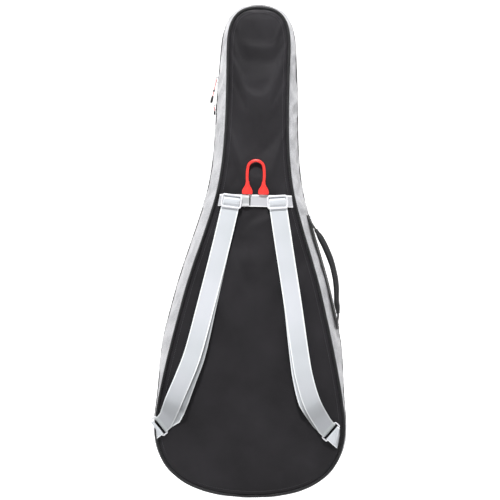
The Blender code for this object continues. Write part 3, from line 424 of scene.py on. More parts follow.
def grid(name, points, look, u, v, closed=False, flip=False, smooth_angle=0):
    """A sheet on a grid of frame points (rows, columns, 3); closed joins the last row to the first.

    u and v are one value for each row and column, or one for each point."""
    rows, columns = points.shape[:2]
    spans = rows if closed else rows - 1
    i, j = np.meshgrid(np.arange(spans), np.arange(columns - 1), indexing="ij")
    i, j = i.ravel(), j.ravel()
    corners = [(i, j), (i + 1, j), (i + 1, j + 1), (i, j + 1)]
    if flip:
        corners = corners[::-1]
    faces = np.stack([(a % rows) * columns + b for a, b in corners], 1)
    u, v = np.asarray(u, float), np.asarray(v, float)
    if u.ndim == 1:
        u, v = np.repeat(u[:, None], columns, 1), np.repeat(v[None, :], len(u), 0)
    elif closed:
        u, v = np.vstack([u, u[:1]]), np.vstack([v, v[:1]])
    uvs = np.stack([np.stack([u[a, b], v[a, b]], -1) for a, b in corners], 1)
    return to_mesh(name, points.reshape(-1, 3), faces, uvs.reshape(-1, 2), look, smooth_angle)


def unit(vectors):
    vectors = np.asarray(vectors, float)
    return vectors / np.maximum(np.linalg.norm(vectors, axis=-1, keepdims=True), 1e-12)


def arc_length(points):
    steps = np.linalg.norm(np.diff(points, axis=0), axis=1)
    return np.concatenate([[0], np.cumsum(steps)])


def sweep(name, path, side, normal, section, look, closed=False, smooth_angle=50, capped=True):
    """A section of (side, normal) offsets carried along a path.

    side, normal and section are each one for the whole path, or one for each point."""
    path = np.asarray(path, float)
    side, normal = (np.broadcast_to(np.asarray(a, float), path.shape) for a in (side, normal))
    section = np.asarray(section, float)
    if section.ndim == 2:
        section = np.repeat(section[None], len(path), 0)
    rings = path[:, None] + side[:, None] * section[..., :1] + normal[:, None] * section[..., 1:]
    count, size = rings.shape[:2]
    length = arc_length(np.vstack([path, path[:1]]) if closed else path)
    spans = count if closed else count - 1
    i, j = (a.ravel() for a in np.meshgrid(np.arange(spans), np.arange(size), indexing="ij"))
    k, ahead = (j + 1) % size, (i + 1) % count
    faces = np.stack([i * size + j, i * size + k, ahead * size + k, ahead * size + j], 1)
    offset = section[..., 0] + 0.5 * section[..., 1]
    uvs = np.stack([np.stack([length[at], offset[ring, corner]], -1) for at, ring, corner in
                    ((i, i, j), (i, i, k), (i + 1, ahead, k), (i + 1, ahead, j))], 1).reshape(-1, 2)
    faces, uvs = faces.tolist(), uvs.tolist()
    if capped and not closed:
        faces += [list(range(size))[::-1], list(range((count - 1) * size, count * size))]
        uvs += section[0][::-1].tolist() + section[-1].tolist()
    made = to_mesh(name, rings.reshape(-1, 3), faces, uvs, look, smooth_angle)
    face_out(made)
    return made


def face_out(piece):
    bm = bmesh.new()
    bm.from_mesh(piece.data)
    bmesh.ops.recalc_face_normals(bm, faces=bm.faces)
    bm.to_mesh(piece.data)
    bm.free()


def frames_along(path, reference=(0, 1, 0), closed=False):
    """Side and normal directions along a path, the normal kept near a reference direction."""
    path = np.asarray(path, float)
    if closed:
        along = np.roll(path, -1, 0) - np.roll(path, 1, 0)
    else:
        along = np.gradient(path, axis=0)
    along = unit(along)
    reference = np.broadcast_to(np.asarray(reference, float), path.shape)
    side = unit(np.cross(along, reference))
    return side, unit(np.cross(side, along))


def round_section(radius, sides):
    angle = np.linspace(0, 2 * math.pi, sides, endpoint=False)
    return np.stack([radius * np.cos(angle), radius * np.sin(angle)], 1)


def web_section(width, thickness, columns=13, curl=0.0, edge=0.35):
    """Webbing's section: a thin slab with a thicker selvedge, curled across by this much."""
    v = np.linspace(-0.5, 0.5, columns) * width
    from_edge = width / 2 - np.abs(v)
    half = thickness / 2 * (1 + edge * np.exp(-((from_edge - 0.0016) / 0.0011) ** 2))
    half[[0, -1]] = thickness * 0.28
    lift = curl * (2 * v / width) ** 2
    top = np.stack([v, half + lift], 1)
    under = np.stack([v, lift - half], 1)[::-1]
    return np.vstack([top, under])


def plump_section(width, thickness, power=2.6, sides=20):
    """A rounded slab: a superellipse."""
    angle = np.linspace(0, 2 * math.pi, sides, endpoint=False)
    c, s = np.cos(angle), np.sin(angle)
    return np.stack([width / 2 * np.sign(c) * np.abs(c) ** (2 / power),
                     thickness / 2 * np.sign(s) * np.abs(s) ** (2 / power)], 1)


def catmull(points, steps):
    points = np.asarray(points, float)
    padded = np.vstack([2 * points[0] - points[1], points, 2 * points[-1] - points[-2]])
    path = []
    for p0, p1, p2, p3 in zip(padded, padded[1:], padded[2:], padded[3:]):
        for t in np.arange(steps) / steps:
            path.append(0.5 * (2 * p1 + (p2 - p0) * t + (2 * p0 - 5 * p1 + 4 * p2 - p3) * t**2
                               + (3 * p1 - p0 - 3 * p2 + p3) * t**3))
    return np.vstack([path, points[-1]])


def sample(places, at, table):
    """The rows of a table at these places, between its own rows, which stand at `at`."""
    return np.stack([np.interp(places, at, table[:, k]) for k in range(table.shape[1])], 1)


def resample(points, count, closed=False):
    points = np.asarray(points, float)
    if closed:
        points = np.vstack([points, points[:1]])
    length = arc_length(points)
    places = np.linspace(0, length[-1], count, endpoint=not closed)
    return sample(places, length, points)


def template_copies(name, corner_points, corner_faces, places, axes, look, smooth_angle=40):
    """Many small copies of one shape, as one mesh: places (n, 3), axes (n, 3, 3) with rows x, y, z."""
    shape = np.asarray(corner_points, float)
    points = places[:, None] + np.einsum("pk,nkd->npd", shape, axes)
    faces, uvs = [], []
    flat_uv = shape[:, :2] + shape[:, 2:3]
    for n in range(len(places)):
        base = n * len(shape)
        for face in corner_faces:
            faces.append([base + corner for corner in face])
            uvs += [tuple(flat_uv[corner] + n * 0.003) for corner in face]
    return to_mesh(name, points.reshape(-1, 3), faces, uvs, look, smooth_angle)


def pill(length, width, height):
    """A small six-sided dash, narrowed at both ends, as a stitch or a tooth: x along, z up."""
    rings = [(-0.5, 0.45), (-0.36, 0.95), (0.36, 0.95), (0.5, 0.45)]
    angles = [math.pi / 3 * k for k in range(6)]
    points = [(x * length, width / 2 * math.cos(a) * s, height / 2 * math.sin(a) * s)
              for x, s in rings for a in angles]
    faces = [[r * 6 + k, r * 6 + (k + 1) % 6, r * 6 + 6 + (k + 1) % 6, r * 6 + 6 + k]
             for r in range(3) for k in range(6)]
    faces += [list(range(6))[::-1], list(range(18, 24))]
    return points, [face[::-1] for face in faces]


def stitches(name, path, normal, look="thread", pitch=0.0036, length=0.0026, width=0.0007, closed=False):
    """A row of stitches along a path of frame points, lying on a surface with these normals."""
    path = np.asarray(path, float)
    normal = np.broadcast_to(np.asarray(normal, float), path.shape)
    if closed:
        path, normal = np.vstack([path, path[:1]]), np.vstack([normal, normal[:1]])
    along_at = arc_length(path)
    places = np.arange(pitch / 2, along_at[-1], pitch)
    x = unit(sample(places + length / 3, along_at, path) - sample(places - length / 3, along_at, path))
    y = unit(np.cross(unit(sample(places, along_at, normal)), x))
    points, faces = pill(length, width, width * 0.8)
    axes = np.stack([x, y, np.cross(x, y)], 1)
    return template_copies(name, points, faces, sample(places, along_at, path), axes, look)


def ripple(points, wavelength, seed, waves=9):
    """A smooth random field of size about 1: waves of one length in random directions."""
    random = np.random.default_rng(seed)
    points = np.asarray(points, float)
    total = np.zeros(points.shape[:-1])
    for _ in range(waves):
        direction = random.normal(size=points.shape[-1])
        direction /= np.linalg.norm(direction)
        length = wavelength * random.uniform(0.7, 1.6)
        total += np.sin(points @ direction * 2 * math.pi / length + random.uniform(0, 2 * math.pi))
    return total / math.sqrt(waves)


def smoothstep(low, high, value):
    t = np.clip((np.asarray(value, float) - low) / (high - low), 0, 1)
    return t * t * (3 - 2 * t)


def drape(piece, pinned, pressure, cap, slack=0.0, frames=20, gravity=0.15, stiffness=12, bending=0.4):
    """Cloth, held at the pinned points, blown out and let sag; a point keeps at most cap of its movement."""
    mesh = piece.data
    rest = np.empty(len(mesh.vertices) * 3, np.float32)
    mesh.vertices.foreach_get("co", rest)
    rest = rest.reshape(-1, 3).astype(float)
    group = piece.vertex_groups.new(name="pinned")
    group.add([int(k) for k in pinned], 1.0, "REPLACE")
    cloth = piece.modifiers.new("cloth", "CLOTH")
    settings = cloth.settings
    settings.quality = 6
    settings.mass = 0.12
    settings.tension_stiffness = settings.compression_stiffness = stiffness
    settings.shear_stiffness = stiffness * 0.5
    settings.bending_stiffness = bending
    settings.use_pressure = True
    settings.uniform_pressure_force = pressure
    settings.vertex_group_mass = "pinned"
    settings.shrink_min = -slack
    settings.effector_weights.gravity = gravity
    cloth.collision_settings.use_collision = False
    cloth.point_cache.frame_start, cloth.point_cache.frame_end = 1, frames
    scene = bpy.context.scene
    for number in range(1, frames + 1):
        scene.frame_set(number)
    result = piece.evaluated_get(bpy.context.evaluated_depsgraph_get()).to_mesh()
    moved = np.empty(len(result.vertices) * 3, np.float32)
    result.vertices.foreach_get("co", moved)
    moved = moved.reshape(-1, 3).astype(float)
    piece.modifiers.remove(cloth)
    piece.vertex_groups.remove(group)
    scene.frame_set(1)
    shift = np.nan_to_num(moved - rest)
    size = np.linalg.norm(shift, axis=1, keepdims=True)
    shift *= cap * np.tanh(size / cap) / np.maximum(size, 1e-9)
    mesh.vertices.foreach_set("co", (rest + shift).astype(np.float32).ravel())
    mesh.update()


def apply_modifiers(piece):
    graph = bpy.context.evaluated_depsgraph_get()
    mesh = bpy.data.meshes.new_from_object(piece.evaluated_get(graph))
    piece.modifiers.clear()
    piece.data = mesh


def subdivide(piece, levels=1):
    finer = piece.modifiers.new("finer", "SUBSURF")
    finer.levels = finer.render_levels = levels
    apply_modifiers(piece)


def thicken(piece, thickness, offset=-1):
    solid = piece.modifiers.new("thick", "SOLIDIFY")
    solid.thickness, solid.offset = thickness, offset
    apply_modifiers(piece)


def weld(piece, distance=1e-5):
    bm = bmesh.new()
    bm.from_mesh(piece.data)
    bmesh.ops.remove_doubles(bm, verts=bm.verts, dist=distance)
    bmesh.ops.dissolve_degenerate(bm, edges=bm.edges, dist=1e-6)
    bm.to_mesh(piece.data)
    bm.free()


def edge_points(piece):
    """Indices of the points on a sheet's open edges."""
    bm = bmesh.new()
    bm.from_mesh(piece.data)
    found = {vertex.index for edge in bm.edges if edge.is_boundary for vertex in edge.verts}
    bm.free()
    return sorted(found)


# ---------------------------------------------------------------- the bag's shape

STATION_COUNT = 400


def outline_loop(count):
    right = []
    for (knot, _, leave), (following, arrive, _) in zip(OUTLINE_KNOTS, OUTLINE_KNOTS[1:]):
        handles = [Vector((*pair, 0)) for pair in (knot, leave, arrive, following)]
        right += [tuple(point)[:2] for point in interpolate_bezier(*handles, 61)[:-1]]
    right.append(OUTLINE_KNOTS[-1][0])
    return resample(right + [(-x, h) for x, h in right[-2:0:-1]], count, closed=True)


OUTLINE = outline_loop(STATION_COUNT)
FOOT = STATION_COUNT // 2
TANGENT = unit(np.roll(OUTLINE, -1, 0) - np.roll(OUTLINE, 1, 0))
NORMAL = np.stack([-TANGENT[:, 1], TANGENT[:, 0]], 1)
TRACK = arc_length(np.vstack([OUTLINE, OUTLINE[:1]]))


def bulge(h):
    body = 0.006 + 0.016 * smoothstep(0.18, 0.35, h)
    return body - 0.011 * smoothstep(0.80, 1.03, h)


BULGE = bulge(OUTLINE[:, 1])


def section_share(y):
    """The side's profile, softened where the CAD's has corners."""
    return np.mean([np.interp(y + d, SECTION_Y, SECTION_SHARE) for d in np.linspace(-0.004, 0.004, 5)], 0)


def skin(y):
    """How far the side stands outside the back seam line, at every station, at depth y."""
    return BULGE * section_share(y)


def shell(offset, y):
    """Frame points at this distance outside the seam line and depth y, round the whole outline."""
    spot = OUTLINE + NORMAL * np.broadcast_to(offset, (STATION_COUNT,))[:, None]
    return in_frame(np.stack([spot[:, 0], np.broadcast_to(y, (STATION_COUNT,)), spot[:, 1]], 1))


def half_width(h, offset=0.0, share=0.0):
    edge = OUTLINE[: FOOT + 1] + NORMAL[: FOOT + 1] * (offset + share * BULGE[: FOOT + 1])[:, None]
    return np.interp(h, edge[::-1, 1], edge[::-1, 0])


def crown_at(x, half, full):
    share = np.minimum(1, np.abs(x) / np.maximum(half, 1e-6))
    return full * (1 - share**2) * np.minimum(1, half / CROWN_FULL_WIDTH)


def back_surface(x, h):
    return -FABRIC / 2 - crown_at(x, half_width(h, -SEAM), BACK_CROWN)


def front_surface(x, h):
    return FRONT_Y + FABRIC / 2 + crown_at(x, half_width(h, -SEAM, 0.75), FRONT_CROWN)


def on_back(x, h, lift):
    return np.array([x, back_surface(x, h) - lift, h], float)


def declare(piece, body, replaced=()):
    """Rides on a body, and stands for these CAD nodes."""
    if body:
        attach(piece, body)
    if replaced:
        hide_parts(*replaced)
    return piece


# ---------------------------------------------------------------- panels

PANEL_SPINE = (0.19, 0.965)  # the stretch of the centre line that a panel's rings close in on
PADDING_BEHIND, PADDING_IN = 0.0046, 0.0065  # the foam slab's outer face and rim, from the panel's


def fan(edge, low, high, rings):
    """A grid from a closed edge (n, 2) in to a spine on the centre line: (n, rings + 1, 2)."""
    spine = np.stack([np.zeros(len(edge)), np.clip(edge[:, 1], low, high)], 1)
    share = np.linspace(0, 1, rings + 1)[None, :, None] ** 0.9
    return spine[:, None] * (1 - share) + edge[:, None] * share


def dent(x, h, place, size, turn=0.0):
    """A soft elliptical hollow of depth 1."""
    c, s = math.cos(turn), math.sin(turn)
    dx, dh = x - place[0], h - place[1]
    along, over = (dx * c + dh * s) / size[0], (dh * c - dx * s) / size[1]
    return np.exp(-(along**2 + over**2))


def crescent(x, h, centre, radius, width, span):
    """A curved fold below a centre point, as cloth makes across a narrow neck."""
    dx, dh = x - centre[0], h - centre[1]
    distance, angle = np.hypot(dx, dh), np.arctan2(dx, -dh)
    return np.exp(-((distance - radius) / width) ** 2 - (angle / span) ** 2)


# (height, centre, radius, width, half angle) of each fold across the neck
FOLDS = (
    (0.0022, (0.006, 1.030), 0.085, 0.010, 0.55),
    (-0.0018, (0.004, 1.030), 0.112, 0.012, 0.6),
    (0.0013, (-0.01, 1.02), 0.140, 0.012, 0.5),
)
# (height, place, size, turn) of each soft swell or hollow
HOLLOWS = (
    (-0.0030, (0.030, 0.745), (0.050, 0.014), 0.8),
    (-0.0028, (-0.020, 0.560), (0.060, 0.018), 1.2),
    (0.0024, (0.014, 0.585), (0.050, 0.009), 0.7),
    (-0.0024, (-0.040, 0.670), (0.040, 0.009), 0.9),
    (0.0026, (0.010, 0.470), (0.040, 0.090)),
    (-0.0022, (0.085, 0.230), (0.100, 0.030), 0.6),
    (-0.0022, (-0.060, 0.120), (0.090, 0.026), -0.4),
)


def panel_relief(x, h, seed):
    """Where the padded back swells and dips, in metres towards the viewer."""
    spots = np.stack([x, h], -1)
    relief = 0.0011 * ripple(spots, 0.16, seed) + 0.0005 * ripple(spots, 0.055, seed + 1)
    for depth, *fold in FOLDS:
        relief += depth * crescent(x, h, *fold)
    for depth, *hollow in HOLLOWS:
        relief += depth * dent(x, h, *hollow)
    return relief


def panel(name, side, rings, depth_at, seam_offset, seed, body, replaced):
    """The back or front panel: a crowned sheet whose rim turns into the seam beside the piping."""
    outward = -1 if side == "back" else 1
    edge = OUTLINE + NORMAL * (seam_offset - SEAM)[:, None]
    flat = fan(edge, *PANEL_SPINE, rings)
    x, h = flat[..., 0], flat[..., 1]
    share = np.linspace(0, 1, rings + 1)[None, :] ** 0.9
    hold = 1 - share**6
    y = depth_at(x, h) + outward * hold * panel_relief(x, h, seed)
    y += outward * 0.0010 * np.exp(-((share - 0.955) / 0.03) ** 2)
    rim = OUTLINE + NORMAL * (seam_offset - SEAM + 0.0016)[:, None]
    sunk = (0.0022 if side == "back" else FRONT_Y - 0.0022) * np.ones(STATION_COUNT)
    x = np.concatenate([x, rim[:, :1]], 1)
    h = np.concatenate([h, rim[:, 1:]], 1)
    y = np.concatenate([y, sunk[:, None]], 1)
    piece = grid(name, in_frame(np.stack([x, y, h], -1)), "nylon", x, h, closed=True,
                 flip=side == "front")
    weld(piece)
    drape(piece, edge_points(piece), 0.6, 0.0022, slack=0.012, frames=16, gravity=0.4)
    subdivide(piece)
    return declare(piece, body, replaced)


panel("back_panel", "back", 16, back_surface, np.zeros(STATION_COUNT), 3, "back_half", ["back_panel_fabric"])
panel("front_panel", "front", 14, front_surface, 0.75 * BULGE, 8, "lid", ["front_panel_fabric"])


def padding(name, side, rings, depth_at, seam_offset, seed, body, replaced):
    """The foam slab behind a panel: its outer face follows the panel's swells, its inner face is plain."""
    outward = -1 if side == "back" else 1
    edge = OUTLINE + NORMAL * (seam_offset - SEAM - PADDING_IN)[:, None]
    flat = fan(edge, *PANEL_SPINE, rings)
    x, h = flat[..., 0], flat[..., 1]
    hold = 1 - np.linspace(0, 1, rings + 1)[None, :] ** 5
    smooth_face = depth_at(x, h) - outward * PADDING_BEHIND
    outer = smooth_face + outward * hold * panel_relief(x, h, seed)
    inner = smooth_face - outward * (FOAM - PADDING_BEHIND)
    sheets = [np.stack([x, outer, h], -1), np.stack([x, inner, h], -1)[:, ::-1]]
    points = in_frame(np.concatenate(sheets, 1))
    wide = np.concatenate([x, x[:, ::-1] + 0.5], 1)
    tall = np.concatenate([h, h[:, ::-1]], 1)
    piece = grid(name, points, "foam", wide, tall, closed=True, flip=side == "front", smooth_angle=50)
    weld(piece)
    return declare(piece, body, replaced)


padding("back_padding", "back", 16, back_surface, np.zeros(STATION_COUNT), 3, "back_half",
        ["back_panel_foam"])
padding("front_padding", "front", 14, front_surface, 0.75 * BULGE, 8, "lid", ["front_panel_foam"])

# ---------------------------------------------------------------- side walls

CROSS_SEAM = 0.597  # where the body's side fabric meets the neck's


def side_relief(y, seed):
    """Creases in the side: livelier along the neck, and a lump over the cross seam."""
    h = OUTLINE[:, 1]
    spots = np.stack([TRACK[:-1], np.full(STATION_COUNT, y)], 1)
    neck = smoothstep(0.57, 0.62, h) * (1 - smoothstep(0.96, 1.02, h))
    relief = neck * (0.0013 * ripple(spots * (1, 1.6), 0.030, seed) + 0.0012 * ripple(spots, 0.085, seed + 2))
    relief += (1 - neck) * (0.0008 * ripple(spots * (1, 2.2), 0.050, seed + 5))
    for depth, above, width in ((0.0026, 0.016, 0.012), (-0.0022, 0, 0.004), (-0.0014, 0.042, 0.010)):
        relief += depth * np.exp(-((h - CROSS_SEAM - above) / width) ** 2)
    return relief


def side_wall(name, near, far, seed, body, replaced):
    """The side fabric between two depths; its edges are tucked under the piping and the zipper tape."""
    depths = np.linspace(near, far, 13)
    rows = []
    for y in depths:
        share = (y - near) / (far - near)
        hold = (4 * share * (1 - share)) ** 0.6
        rows.append(shell(skin(y) + hold * side_relief(y, seed), y))
    points = np.stack(rows, 1)
    piece = grid(name, points, "heather", TRACK, depths, closed=True)
    drape(piece, edge_points(piece), 0.5, 0.0016, slack=0.018, frames=14, gravity=0.5)
    subdivide(piece)
    return declare(piece, body, replaced)


def side_padding(name, near, far, seam_side, seed, body, replaced):
    """The foam behind the side fabric, an endless band as thick as the padding."""
    depths = np.linspace(near, far, 13)
    outer, inner = [], []
    for y in depths:
        share = (y - seam_side[0]) / (seam_side[1] - seam_side[0])
        hold = max(0.0, 4 * share * (1 - share)) ** 0.6
        outer.append(shell(skin(y) - 0.0022 + hold * np.minimum(side_relief(y, seed), 0.0008), y))
        inner.append(shell(skin(y) - FOAM - 0.0010, y))
    points = np.stack(outer + inner[::-1] + outer[:1], 1)
    around = np.concatenate([depths, depths[::-1] + 0.2, depths[:1] + 0.4])
    piece = grid(name, points, "foam", TRACK, around, closed=True, smooth_angle=50)
    weld(piece)
    face_out(piece)
    return declare(piece, body, replaced)


BACK_SIDE = (0.0022, PARTING_Y - ZIP_TAPE_EDGE + 0.0004)
FRONT_SIDE = (PARTING_Y + ZIP_TAPE_EDGE - 0.0004, FRONT_Y - 0.0022)
side_padding("back_side_padding", 0.0120, PARTING_Y - 0.0014, BACK_SIDE, 21, "back_half", ["back_side_foam"])
side_padding("front_side_padding", PARTING_Y + 0.0014, FRONT_Y - 0.0120, FRONT_SIDE, 33, "lid",
             ["front_side_foam"])
side_wall("back_side", *BACK_SIDE, 21, "back_half", ["back_side_fabric"])
side_wall("front_side", *FRONT_SIDE, 33, "lid", ["front_side_fabric"])

# ---------------------------------------------------------------- piping


def piping(name, offset, y, body, node):
    """Ribbed binding over a cord, with the ribs running aslant round it."""
    count = 2600
    loop = resample(shell(offset, y), count, closed=True)
    side, normal = frames_along(loop, (0, 1, 0), closed=True)
    length = arc_length(np.vstack([loop, loop[:1]]))[:-1]
    angle = np.linspace(0, 2 * math.pi, 10, endpoint=False)
    ribs = np.sin(2 * math.pi * (length[:, None] / 0.0042) + angle[None])
    wander = ripple(np.stack([length, length * 0], 1), 0.05, 4)[:, None]
    radius = PIPING_RADIUS * (1 + 0.045 * ribs + 0.03 * wander)
    section = np.stack([radius * np.cos(angle), radius * np.sin(angle)], -1)
    piece = sweep(name, loop, side, normal, section, "piping", closed=True, smooth_angle=0)
    return declare(piece, body, [node])


piping("back_piping_bead", 0.0, 0.0, "back_half", "back_piping")
piping("front_piping_bead", 0.75 * BULGE, FRONT_Y, "lid", "front_piping")

# rows of stitches beside the piping, on the panel and on the side
PANEL_STITCH_IN, SIDE_STITCH_Y, FINE_STITCH = 0.0105, 0.0095, 0.0006
inside_x, inside_h = (OUTLINE - NORMAL * PANEL_STITCH_IN).T
stitch_line = in_frame(np.stack([inside_x, back_surface(inside_x, inside_h) - 0.0011, inside_h], 1))
declare(stitches("back_panel_stitches", stitch_line, BACKWARD, closed=True, width=FINE_STITCH), "back_half")
side_normals = np.stack([NORMAL[:, 0], np.zeros(STATION_COUNT), NORMAL[:, 1]], 1)
declare(stitches("back_side_stitches", shell(skin(SIDE_STITCH_Y) + 0.0004, SIDE_STITCH_Y),
                 side_normals - (0, 0.7, 0), "thread_pale", closed=True, width=FINE_STITCH), "back_half")

# ---------------------------------------------------------------- main zipper and the fabric hinge

LEFT_SIDE = np.arange(FOOT + 1, STATION_COUNT)
SPINE = LEFT_SIDE[(OUTLINE[LEFT_SIDE, 1] >= SPINE_LOW) & (OUTLINE[LEFT_SIDE, 1] <= SPINE_HIGH)]
ZIPPED = np.concatenate([np.arange(SPINE[-1] + 1, STATION_COUNT), np.arange(0, SPINE[0])])
TOOTH_PITCH = 0.0054  # between the teeth of one half


def zip_half(side, sign, body):
    """Tape with a woven edge, a sewn line, and its row of teeth along the parting."""
    depths = PARTING_Y + sign * np.linspace(0.0007, ZIP_TAPE_EDGE + 0.0008, 6)
    lifts = [0.0000, 0.0005, 0.0006, 0.0006, 0.0009, 0.0004]
    points = np.stack([shell(skin(y) + lift, y)[ZIPPED] for y, lift in zip(depths, lifts)], 1)
    length = arc_length(points[:, 2])
    tape = grid(f"zip_tape_{side}_weave", points, "grosgrain", length, depths, flip=sign < 0)
    thicken(tape, 0.0006)
    declare(tape, body, [f"zip_tape_{side}"])
    sewn = shell(skin(PARTING_Y) + 0.0010, PARTING_Y + sign * (ZIP_TAPE_EDGE - 0.0015))[ZIPPED]
    declare(stitches(f"zip_stitches_{side}", sewn, side_normals[ZIPPED]), body)

    run = shell(skin(PARTING_Y) + 0.0014, PARTING_Y)[ZIPPED]
    at = arc_length(run)
    places = np.arange(TOOTH_PITCH / 2 + (TOOTH_PITCH / 2 if sign > 0 else 0), at[-1], TOOTH_PITCH)
    spots = sample(places, at, run)
    out = unit(sample(places, at, side_normals[ZIPPED]))
    run_way = unit(sample(places + 0.002, at, run) - spots)
    cross = np.broadcast_to(np.array([0, float(sign), 0]), run_way.shape)
    spots = spots + cross * 0.0011
    shape, faces = pill(0.0048, 0.0023, 0.0021)
    axes = np.stack([cross, run_way, out], 1)
    teeth = template_copies(f"zip_teeth_{side}", shape, faces if sign > 0 else [f[::-1] for f in faces],
                            spots, axes, "coil")
    face_out(teeth)
    declare(teeth, body, [f"zip_coil_{side}"])


zip_half("back", -1, "back_half")
zip_half("front", 1, "lid")

hinge_depths = PARTING_Y + np.linspace(-1, 1, 15) * (ZIP_TAPE_EDGE + 0.0010)
SPINE_WIDE = np.concatenate([[SPINE[0] - 1], SPINE, [SPINE[-1] + 1]])
crease = 0.0010 + 0.0007 * np.cos(np.linspace(-1, 1, 15) * math.pi * 1.5)
hinge_rows = [shell(skin(y) + c, y)[SPINE_WIDE] for y, c in zip(hinge_depths, crease)]
hinge = grid("hinge_fabric", np.stack(hinge_rows, 1), "grosgrain", TRACK[SPINE_WIDE], hinge_depths)
thicken(hinge, 0.0008)
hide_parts("spine_fabric")
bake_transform(hinge)

# ---------------------------------------------------------------- linings


def lining(name, side, body, replaced):
    """Lining of one half: a fold over the padding's edge, the wall, a rounded corner and the panel."""
    into = 1 if side == "front" else -1
    seam_y = FRONT_Y if side == "front" else 0.0
    floor_y = seam_y - into * 0.0118
    part = PARTING_Y + into * 0.0004
    rows = [shell(skin(PARTING_Y) - 0.0012, part), shell(skin(PARTING_Y) - 0.0070, part + into * 0.0002),
            shell(skin(PARTING_Y) - 0.0128, part + into * 0.0004)]
    depths = np.linspace(PARTING_Y + into * 0.003, floor_y - into * 0.008, 9)
    for y in depths:
        rows.append(shell(skin(y) - LINING_INSET - 0.0008 + 0.0007 * ripple(
            np.stack([TRACK[:-1], np.full(STATION_COUNT, y)], 1), 0.06, 51), y))
    base = skin(floor_y)
    for turn in (0.35, 0.7, 1.0):
        drop = 0.008 * math.sin(turn * math.pi / 2)
        inset = 0.008 * (1 - math.cos(turn * math.pi / 2))
        rows.append(shell(base - LINING_INSET - 0.0008 - inset, floor_y - into * (0.008 - drop)))
    edge = OUTLINE + NORMAL * (base - LINING_INSET - 0.0088)[:, None]
    flat = fan(edge, 0.19, 0.955, 10)[:, ::-1]
    for k in range(1, flat.shape[1]):
        x, h = flat[:, k, 0], flat[:, k, 1]
        crown = crown_at(x, half_width(h, -0.016), BACK_CROWN if side == "back" else FRONT_CROWN)
        wave = 0.0007 * ripple(flat[:, k], 0.07, 61) * min(1.0, k / 2)
        y = floor_y + into * (crown * 0.9 - 0.0012) - into * wave
        rows.append(in_frame(np.stack([x, np.broadcast_to(y, x.shape), h], 1)))
    points = np.stack(rows, 1)
    across = np.concatenate([[0], np.cumsum(np.linalg.norm(np.diff(points, axis=1), axis=-1).mean(0))])
    piece = grid(name, points, "lining", TRACK, across, closed=True, flip=side == "front")
    weld(piece)
    return declare(piece, body, replaced)


lining("back_lining", "back", "back_half", ["back_panel_lining", "back_side_lining"])
lining("front_lining", "front", "lid", ["front_panel_lining", "front_side_lining"])

# ---------------------------------------------------------------- crossbar

bar_steps = 40
bar_x = np.linspace(BAR_LEFT, BAR_RIGHT, bar_steps + 1)
bar_middle = BAR_LOW + BAR_HEIGHT / 2
bar_path = in_frame([on_back(x, bar_middle, 0.0007 + WEBBING / 2) for x in bar_x])
slant = 1 - 2 * np.linspace(0, 1, bar_steps + 1)
bar_side = unit(np.stack([BAR_SLANT * slant, np.zeros_like(slant), np.full_like(slant, BAR_HEIGHT)], 1))
bar_wave = 0.0004 * ripple(bar_path, 0.05, 71)
bar = sweep("crossbar", bar_path + BACKWARD * bar_wave[:, None], bar_side, BACKWARD,
            web_section(BAR_HEIGHT, WEBBING, 11), "bar")
declare(bar, "back_half", ["strap_bar"])


def box_seam(wide, high):
    """The corners of a sewn box with its diagonals crossed, as (across, up) pairs, from both ranges."""
    (x0, x1), (z0, z1) = wide, high
    return [(x0, z0), (x1, z0), (x1, z1), (x0, z1), (x0, z0), (x1, z1), (x1, z0), (x0, z1)]


for label, wide in (("left", (BAR_LEFT + 0.003, BAR_LEFT + 0.014)),
                    ("right", (BAR_RIGHT - 0.014, BAR_RIGHT - 0.003))):
    corners = in_frame([on_back(x, bar_middle + dh, 0.0018 + WEBBING / 2) for x, dh in
                        box_seam(wide, (-0.0095, 0.0095))])
    declare(stitches(f"bar_stitches_{label}", resample(corners, 90), BACKWARD, "thread_pale", 0.0028, 0.0021,
                     FINE_STITCH), "back_half")


def bar_band(name, x0, x1, lifts, width, thickness, columns, look):
    """A band of webbing across the crossbar."""
    places = np.linspace(x0, x1, len(lifts))
    line = in_frame([on_back(x, bar_middle, lift) for x, lift in zip(places, lifts)])
    declare(sweep(name, line, UPWARD, BACKWARD, web_section(width, thickness, columns), look), "back_half")


keeper_lift = 0.0030 + 0.0014 * np.sin(np.linspace(0, math.pi, 15)) ** 0.5
bar_band("bar_keeper", -0.0300, -0.0125, keeper_lift, 0.0215, 0.0010, 9, "keeper")
bar_band("bar_keeper_slit", -0.0128, -0.0098, [0.0029] * 5, 0.0205, 0.0007, 7, "webbing_black")

# ---------------------------------------------------------------- shoulder straps


def middle_of(node):
    low, high = (np.array(corner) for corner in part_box(node))
    return (low + high) / 2


def rounded_frame(half_x, half_z, corner, steps=6):
    """A rounded rectangle as (across, up) pairs."""
    points = []
    for quarter, (sx, sz) in enumerate(((1, 1), (-1, 1), (-1, -1), (1, -1))):
        for angle in math.pi / 2 * (quarter + np.linspace(0, 1, steps)):
            points.append((sx * (half_x - corner) + corner * math.cos(angle),
                           sz * (half_z - corner) + corner * math.sin(angle)))
    return np.array(points)


